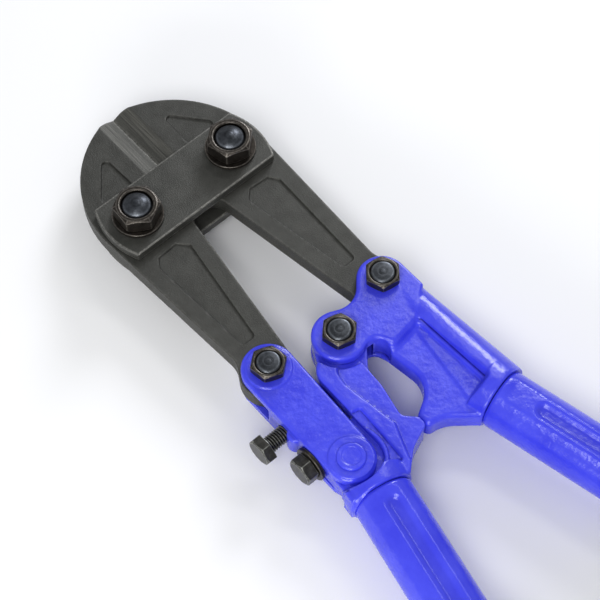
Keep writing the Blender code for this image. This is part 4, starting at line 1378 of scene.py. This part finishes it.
@dataclass
class RightCasting:
    """The right handle's casting: a clevis head, a drafted step down to a web, a round ridge and a collar."""

    shop: Workshop
    handle: Handle
    web_half: float = 4.8
    ledge_height: float = 6.7
    slot_half: float = CHEEK_LOW
    link_slot: float = 11.3
    centre_slot: float = 12.3
    bore_radius: float = 4.7

    def __post_init__(self) -> None:
        """Lays out the head, the web with its stop foot, and the two levels of the web's pocket."""
        lx, ly = LINK
        self.head = Outline(
            (
                (lx, ly, 9.5),
                (10.6, 16.9, -9.6),
                (0.0, 0.0, 10.2),
                (6.5, -13.5, -4.7),
                (13.6, -13.5, 1.6),
                (23.5, -10.6, 3.0),
                (lx + 7.9, -3.9, 1.6),
            )
        )
        self.web = Outline(
            (
                (32.0, -8.0, 0.0),
                (9.0, -10.0, 0.0),
                (0.2, -28.2, -11.0),
                (2.45, -42.2, 2.3),
                (2.45, -44.6, 2.3),
                (0.6, -61.4, -14.6),
                (17.0, -56.0, 0.0),
                (36.0, -52.0, 0.0),
            )
        )
        self.ledge = Outline(
            (
                (26.6, -46.4, 1.3),
                (25.4, -15.0, 1.3),
                (14.0, -17.0, -1.3),
                (-8.0, -18.0, 0.0),
                (-8.0, -49.0, 0.0),
                (13.0, -49.6, 1.3),
            )
        )
        self.pocket = Outline(
            (
                (25.0, -45.4, 1.1),
                (23.7, -16.4, 1.1),
                (14.0, -18.4, -1.1),
                (-8.0, -19.4, 0.0),
                (-8.0, -48.0, 0.0),
                (12.6, -48.4, 1.1),
            )
        )

    def shape(self, x: np.ndarray, y: np.ndarray, z: np.ndarray) -> np.ndarray:
        """Distance to the casting.

        The head is a plate whose rear edges lean out as they go down to the web. The ridge is a round
        taper along the outer side, with the pocket cut out of it in two levels, so that a narrow ledge
        runs round the web. Fillets join all of it, and two round slots part the cheeks. A round recess
        opens the web under the head's arch.

        Args:
            x: First coordinates, in millimetres from the centre pivot.
            y: Second coordinates.
            z: Heights from the middle plane.

        Returns:
            Signed distances, negative inside.
        """
        height = np.abs(z)
        rear = ramp(-y, 5.0, 10.0) * ramp(x, 4.0, 10.0)
        lean = 0.62 * rear * np.clip(CHEEK_TOP - height, 0.0, 3.0)
        body = slab(self.head.distance(x, y) - lean, z, CHEEK_TOP, 1.25)
        web = slab(self.web.distance(x, y), z, self.web_half, 1.7)
        body = joined(body, web, 1.1)
        arch = np.maximum(disc(x, y, (6.6, -13.8), 4.5), -(z + 3.4))
        body = cut(body, arch, 0.5)
        ridge = taper((x, y, z), (30.7, -4.0), (28.9, -51.0), 7.5, 12.15)
        ridge = np.maximum(ridge, -(y + 52.6))
        deep = self.pocket.distance(x, y) - 0.35 * (height - self.web_half)
        pocket = np.maximum(deep, self.web_half - height)
        ledge = np.maximum(self.ledge.distance(x, y), self.ledge_height - height)
        ridge = cut(cut(ridge, ledge, 0.55), pocket, 0.45)
        body = joined(body, ridge, 0.9)
        body = joined(body, cut(self.handle.collar(x, y, z), pocket, 0.4), 0.5)
        middle_pin = (0.0, 0.0)
        slot = np.minimum(disc(x, y, LINK, self.link_slot), disc(x, y, middle_pin, self.centre_slot))
        body = cut(body, np.maximum(slot, height - self.slot_half), 0.35)
        bore = np.minimum(disc(x, y, LINK, self.bore_radius), disc(x, y, middle_pin, self.bore_radius))
        return cut(body, bore + 0.0 * z, 0.25)

    def build(self) -> None:
        """Skins the casting and adds its tang."""
        mesh = skin(self.shape, (-10.4, -57.0, -12.4), (41.8, LINK[1] + 9.6, 12.4), 0.42)
        whole = together(mesh, self.handle.tang())
        self.shop.place("right_casting_enamelled", whole, CAST_ENAMEL, "right_handle_casting", 50.0)


@dataclass
class LeftCasting:
    """The left handle's casting: a thin eye, a thick rail with a rib, the arm's recess and a collar."""

    shop: Workshop
    handle: Handle
    rail_half: float = 7.0
    thin_half: float = 3.5

    def __post_init__(self) -> None:
        """Lays out the rail, its sunk floor, the neck and the web."""
        px, py = ARM_PIN
        self.rail = Outline(
            (
                (-17.2, -55.6, 0.0),
                (-2.6, -60.6, -13.2),
                (-2.45, -44.0, 2.3),
                (-2.45, -42.8, 2.3),
                (-1.2, -36.4, -3.0),
                (-1.6, -24.0, 0.0),
                (-0.6, -9.5, 0.0),
                (-8.9, -9.5, 8.0),
                (px, py, -11.6),
                (-38.9, -46.6, 0.5),
                (-39.4, -50.6, 0.5),
            )
        )
        self.floor = Outline(
            ((-16.6, -49.0, 0.9), (-14.9, -27.0, 0.9), (-26.0, -24.0, 0.9), (-26.0, -49.0, 0.9))
        )
        self.face = Outline(
            (
                (6.0, -56.0, 1.0),
                (6.0, -34.0, 1.0),
                (4.0, -14.0, 1.0),
                (-7.2, -12.0, 3.0),
                (-9.0, -16.0, 2.0),
                (-9.9, -38.0, -2.0),
                (-11.2, -51.6, 2.0),
            )
        )
        self.neck = Outline(
            ((0.0, 0.0, 9.9), (-8.4, -12.0, 8.0), (-6.0, -22.0, 3.0), (0.4, -15.0, 0.0))
        )
        self.web = Outline(
            (
                (-33.2, -28.4, 4.0),
                (-37.2, -45.0, 1.0),
                (-38.0, -51.0, 0.0),
                (-18.0, -51.0, 0.0),
                (-14.0, -26.4, 0.0),
            )
        )

    def shape(self, x: np.ndarray, y: np.ndarray, z: np.ndarray) -> np.ndarray:
        """Distance to the casting.

        The rail is a thick plate. Its floor beside the arm and its face beside the stop are sunk, which
        leaves a rib between them. Round sweeps about the centre pivot and the arm's pin clear the
        cheeks, down to the thin eye and web, and the shoulder tapers out to the collar.

        Args:
            x: First coordinates, in millimetres from the centre pivot.
            y: Second coordinates.
            z: Heights from the middle plane.

        Returns:
            Signed distances, negative inside.
        """
        height = np.abs(z)
        rail = slab(self.rail.distance(x, y), z, self.rail_half, 1.1)
        floor = common(self.floor.distance(x, y), -disc(x, y, ARM_PIN, 13.4), 0.6)
        floor = floor - 0.5 * (height - self.rail_half + 1.5)
        rail = cut(rail, np.maximum(floor, self.rail_half - 1.5 - height), 0.35)
        face = self.face.distance(x, y) - 0.6 * (height - self.rail_half + 1.3)
        rail = cut(rail, np.maximum(face, self.rail_half - 1.3 - height), 0.45)
        shoulder = taper((x, y, z), (-27.4, -42.0), (-28.2, -51.0), 7.4, 12.0)
        shoulder = np.maximum(shoulder, -(y + 52.4))
        body = joined(rail, shoulder, 1.2)
        body = joined(body, self.handle.collar(x, y, z), 0.5)
        sweep = np.maximum(disc(x, y, (0.0, 0.0), 12.6), self.thin_half - height)
        body = cut(body, sweep, 0.6)
        recess = np.maximum(disc(x, y, ARM_PIN, 11.2), self.thin_half - height)
        body = cut(body, recess, 0.6)
        thin = np.minimum(self.neck.distance(x, y), self.web.distance(x, y))
        body = joined(body, slab(thin, z, self.thin_half, 0.4), 0.4)
        bore = np.minimum(disc(x, y, (0.0, 0.0), 6.7), disc(x, y, ARM_PIN, 4.1))
        body = np.maximum(body, -bore)
        lock_y = spot("lock_screw")[1]
        hole = np.maximum(np.hypot(y - lock_y, z) - 2.65, x + 28.4)
        return np.maximum(body, -hole)

    def build(self) -> None:
        """Skins the casting and adds its tang."""
        mesh = skin(self.shape, (-41.8, -57.0, -12.4), (10.0, 10.0, 12.4), 0.42)
        whole = together(mesh, self.handle.tang())
        self.shop.place("left_casting_enamelled", whole, CAST_ENAMEL, "left_handle_casting", 50.0)


@dataclass
class AdjustingArm:
    """The channel-shaped arm between the left jaw and the left casting, with its painted pin."""

    shop: Workshop
    base: float = 0.55
    wall: float = 4.0

    def edge(self, y: float) -> float:
        """The arm's outer edge at a height y, on the straight run between its two ends."""
        top, bottom = -LINK[0] - 10.0, ARM_PIN[0] - 9.0
        return top + (bottom - top) * (LINK[1] - y) / (LINK[1] - ARM_PIN[1])

    def shape(self, x: np.ndarray, y: np.ndarray, z: np.ndarray) -> np.ndarray:
        """Distance to the arm.

        Two cheeks share a belt outline. A raised ring stands round the link nut and one round the pin,
        and between the cheeks there is only the outer wall, with the lug that the lock screw clears.

        Args:
            x: First coordinates, in millimetres from the centre pivot.
            y: Second coordinates.
            z: Heights from the middle plane.

        Returns:
            Signed distances, negative inside.
        """
        height = np.abs(z)
        link = (-LINK[0], LINK[1])
        plan = Outline(((*link, 10.0), (*ARM_PIN, 9.0))).distance(x, y)
        body = slab(plan, z, CHEEK_TOP - self.base, 1.1)
        rings = np.minimum(disc(x, y, link, 8.5), disc(x, y, ARM_PIN, 8.2))
        body = joined(body, slab(rings, z, CHEEK_TOP, 0.4), 0.45)
        wall_x = self.edge(spot("adjusting_screw")[1]) + self.wall
        top = LINK[1] - 11.3
        bottom = spot("lock_screw")[1] + 4.6
        wall = np.maximum(np.maximum(x - wall_x, y - top), bottom - y)
        gap = np.maximum(-wall, height - CHEEK_LOW)
        body = cut(body, gap, 0.3)
        lug = slab(disc(x, y, (self.edge(bottom) + 1.4, bottom + 6.0), 3.3), z, 4.6, 1.0)
        lug = np.maximum(lug, x - wall_x)
        body = joined(body, lug, 0.5)
        screw_y = spot("adjusting_screw")[1]
        hole = np.maximum(np.hypot(y - screw_y, z) - 3.35, x + 25.0)
        body = np.maximum(body, -hole)
        bore = np.minimum(disc(x, y, link, 4.7), disc(x, y, ARM_PIN, 4.2))
        return cut(body, bore + 0.0 * z, 0.25)

    def build(self) -> None:
        """Skins the arm, and turns its pin with a ringed head on each cheek."""
        low = (-39.4, ARM_PIN[1] - 9.2, -CHEEK_TOP)
        high = (-17.3, LINK[1] + 10.2, CHEEK_TOP)
        mesh = skin(self.shape, low, high, 0.4)
        self.shop.place("adjusting_arm_enamelled", mesh, CAST_ENAMEL, "adjusting_arm", 50.0)
        high = reach("arm_rivet", 2)[1]
        head = high - 0.9
        r = np.linspace(1.0, 0.0, 24)
        crown = high - 0.28 * (1 - ramp(r, 0.6, 0.72)) - 0.5 * ramp(r, 0.9, 1.0) ** 2
        cap = [(5.3 * float(a), float(b)) for a, b in zip(r, crown)]
        foot = [(a, -b) for a, b in cap[::-1]]
        pin = foot + [(5.3, -head), (4.0, -head), (4.0, head), (5.3, head)] + cap
        mesh = moved(turned(pin, 96), at(*ARM_PIN))
        self.shop.place("arm_pin_enamelled", mesh, CAST_ENAMEL, "arm_rivet", 40.0)


# ---------------------------------------------------------------- studio


@dataclass
class Studio:
    """A pale floor, a pale sky, soft lamps, and a camera above the left handle's side."""

    lens: float = 109.51
    spin: float = -41.0
    tilt: float = 28.81
    roll: float = -0.6

    def lamp(self, name: str, aim: tuple, place: tuple, size: tuple, power: float, tint: str) -> None:
        """A rectangular soft lamp.

        Args:
            name: What it is called.
            aim: The point it faces, in metres.
            place: Where it stands, in metres.
            size: Its two sides, in metres.
            power: Its power, in watts.
            tint: Its colour.
        """
        data = bpy.data.lights.new(name, "AREA")
        data.shape = "RECTANGLE"
        data.size, data.size_y = size
        data.energy = power
        data.color = linear(tint)[:3]
        made = bpy.data.objects.new(name, data)
        made.location = place
        way = Vector(aim) - Vector(place)
        made.rotation_euler = way.to_track_quat("-Z", "Y").to_euler()
        bpy.context.scene.collection.objects.link(made)

    def floor(self) -> None:
        """A wide floor under the tool: height nought over a square grid."""
        side = np.linspace(-1.6, 1.6, 9)
        x, y = np.meshgrid(side, side, indexing="ij")
        corners = np.stack([x.ravel(), y.ravel(), 0.0 * x.ravel() - 0.0004], axis=1)
        row, column = np.meshgrid(np.arange(8), np.arange(8), indexing="ij")
        start = (row * 9 + column).ravel()
        faces = np.stack([start, start + 9, start + 10, start + 1], axis=1)
        data = bpy.data.meshes.new("studio_floor")
        data.from_pydata(corners.tolist(), [], faces.tolist())
        paper = bpy.data.materials.new("matt white backdrop paper")
        paper.use_nodes = True
        shader = paper.node_tree.nodes["Principled BSDF"]
        shader.inputs["Base Color"].default_value = linear("#f4f4f4")
        shader.inputs["Roughness"].default_value = 0.85
        data.materials.append(paper)
        made = bpy.data.objects.new("studio_floor", data)
        bpy.context.scene.collection.objects.link(made)

    def sky(self) -> None:
        """An even pale surround."""
        world = bpy.data.worlds.new("studio surround")
        world.use_nodes = True
        shade = world.node_tree.nodes["Background"]
        shade.inputs["Color"].default_value = linear("#f2f4f8")
        shade.inputs["Strength"].default_value = 0.45
        bpy.context.scene.world = world

    def camera(self) -> None:
        """The camera, set by its place over the centre pivot and by three turns."""
        data = bpy.data.cameras.new("studio camera")
        data.lens = self.lens
        data.sensor_width = 36.0
        data.clip_start = 0.01
        made = bpy.data.objects.new("studio camera", data)
        place = Vector(HEART) + Vector((-0.2100, -0.2203, 0.5865))
        turn = (
            Matrix.Rotation(math.radians(self.spin), 4, "Z")
            @ Matrix.Rotation(math.radians(self.tilt), 4, "X")
            @ Matrix.Rotation(math.radians(self.roll), 4, "Z")
        )
        made.matrix_world = Matrix.Translation(place) @ turn
        bpy.context.scene.collection.objects.link(made)
        bpy.context.scene.camera = made

    def build(self) -> None:
        """Sets the whole studio up."""
        bpy.context.scene.view_settings.view_transform = "Standard"
        self.floor()
        self.sky()
        self.camera()
        self.lamp("key soft box", (0, 0.05, 0), (-0.5, -0.3, 0.85), (0.5, 0.4), 4.4, "#ffffff")
        self.lamp("left strip", (0, 0.0, 0.02), (-0.8, -0.5, 0.32), (0.6, 0.2), 4.8, "#ffffff")
        self.lamp("right soft box", (0, 0.05, 0.02), (0.75, 0.45, 0.5), (0.3, 0.3), 4.4, "#f6f8ff")
        self.lamp("high strip", (0, -0.05, 0), (0.46, 0.22, 0.76), (0.5, 0.1), 0.9, "#ffffff")


def main() -> None:
    """Builds every sub-assembly in order, and the studio round them."""
    logging.basicConfig(level=logging.INFO, format="%(message)s")
    shop = Workshop()
    for side in Side:
        Jaw(side, shop).build()
    LinkPlates(shop).build()
    PivotBolts(shop).build()
    SideScrews(shop).build()
    right, left = Handle(Side.RIGHT, shop), Handle(Side.LEFT, shop)
    right.build()
    left.build()
    RightCasting(shop, right).build()
    LeftCasting(shop, left).build()
    AdjustingArm(shop).build()
    log.info("%d triangles in all", shop.triangles)
    Studio().build()


if __name__ == "__main__":
    main()
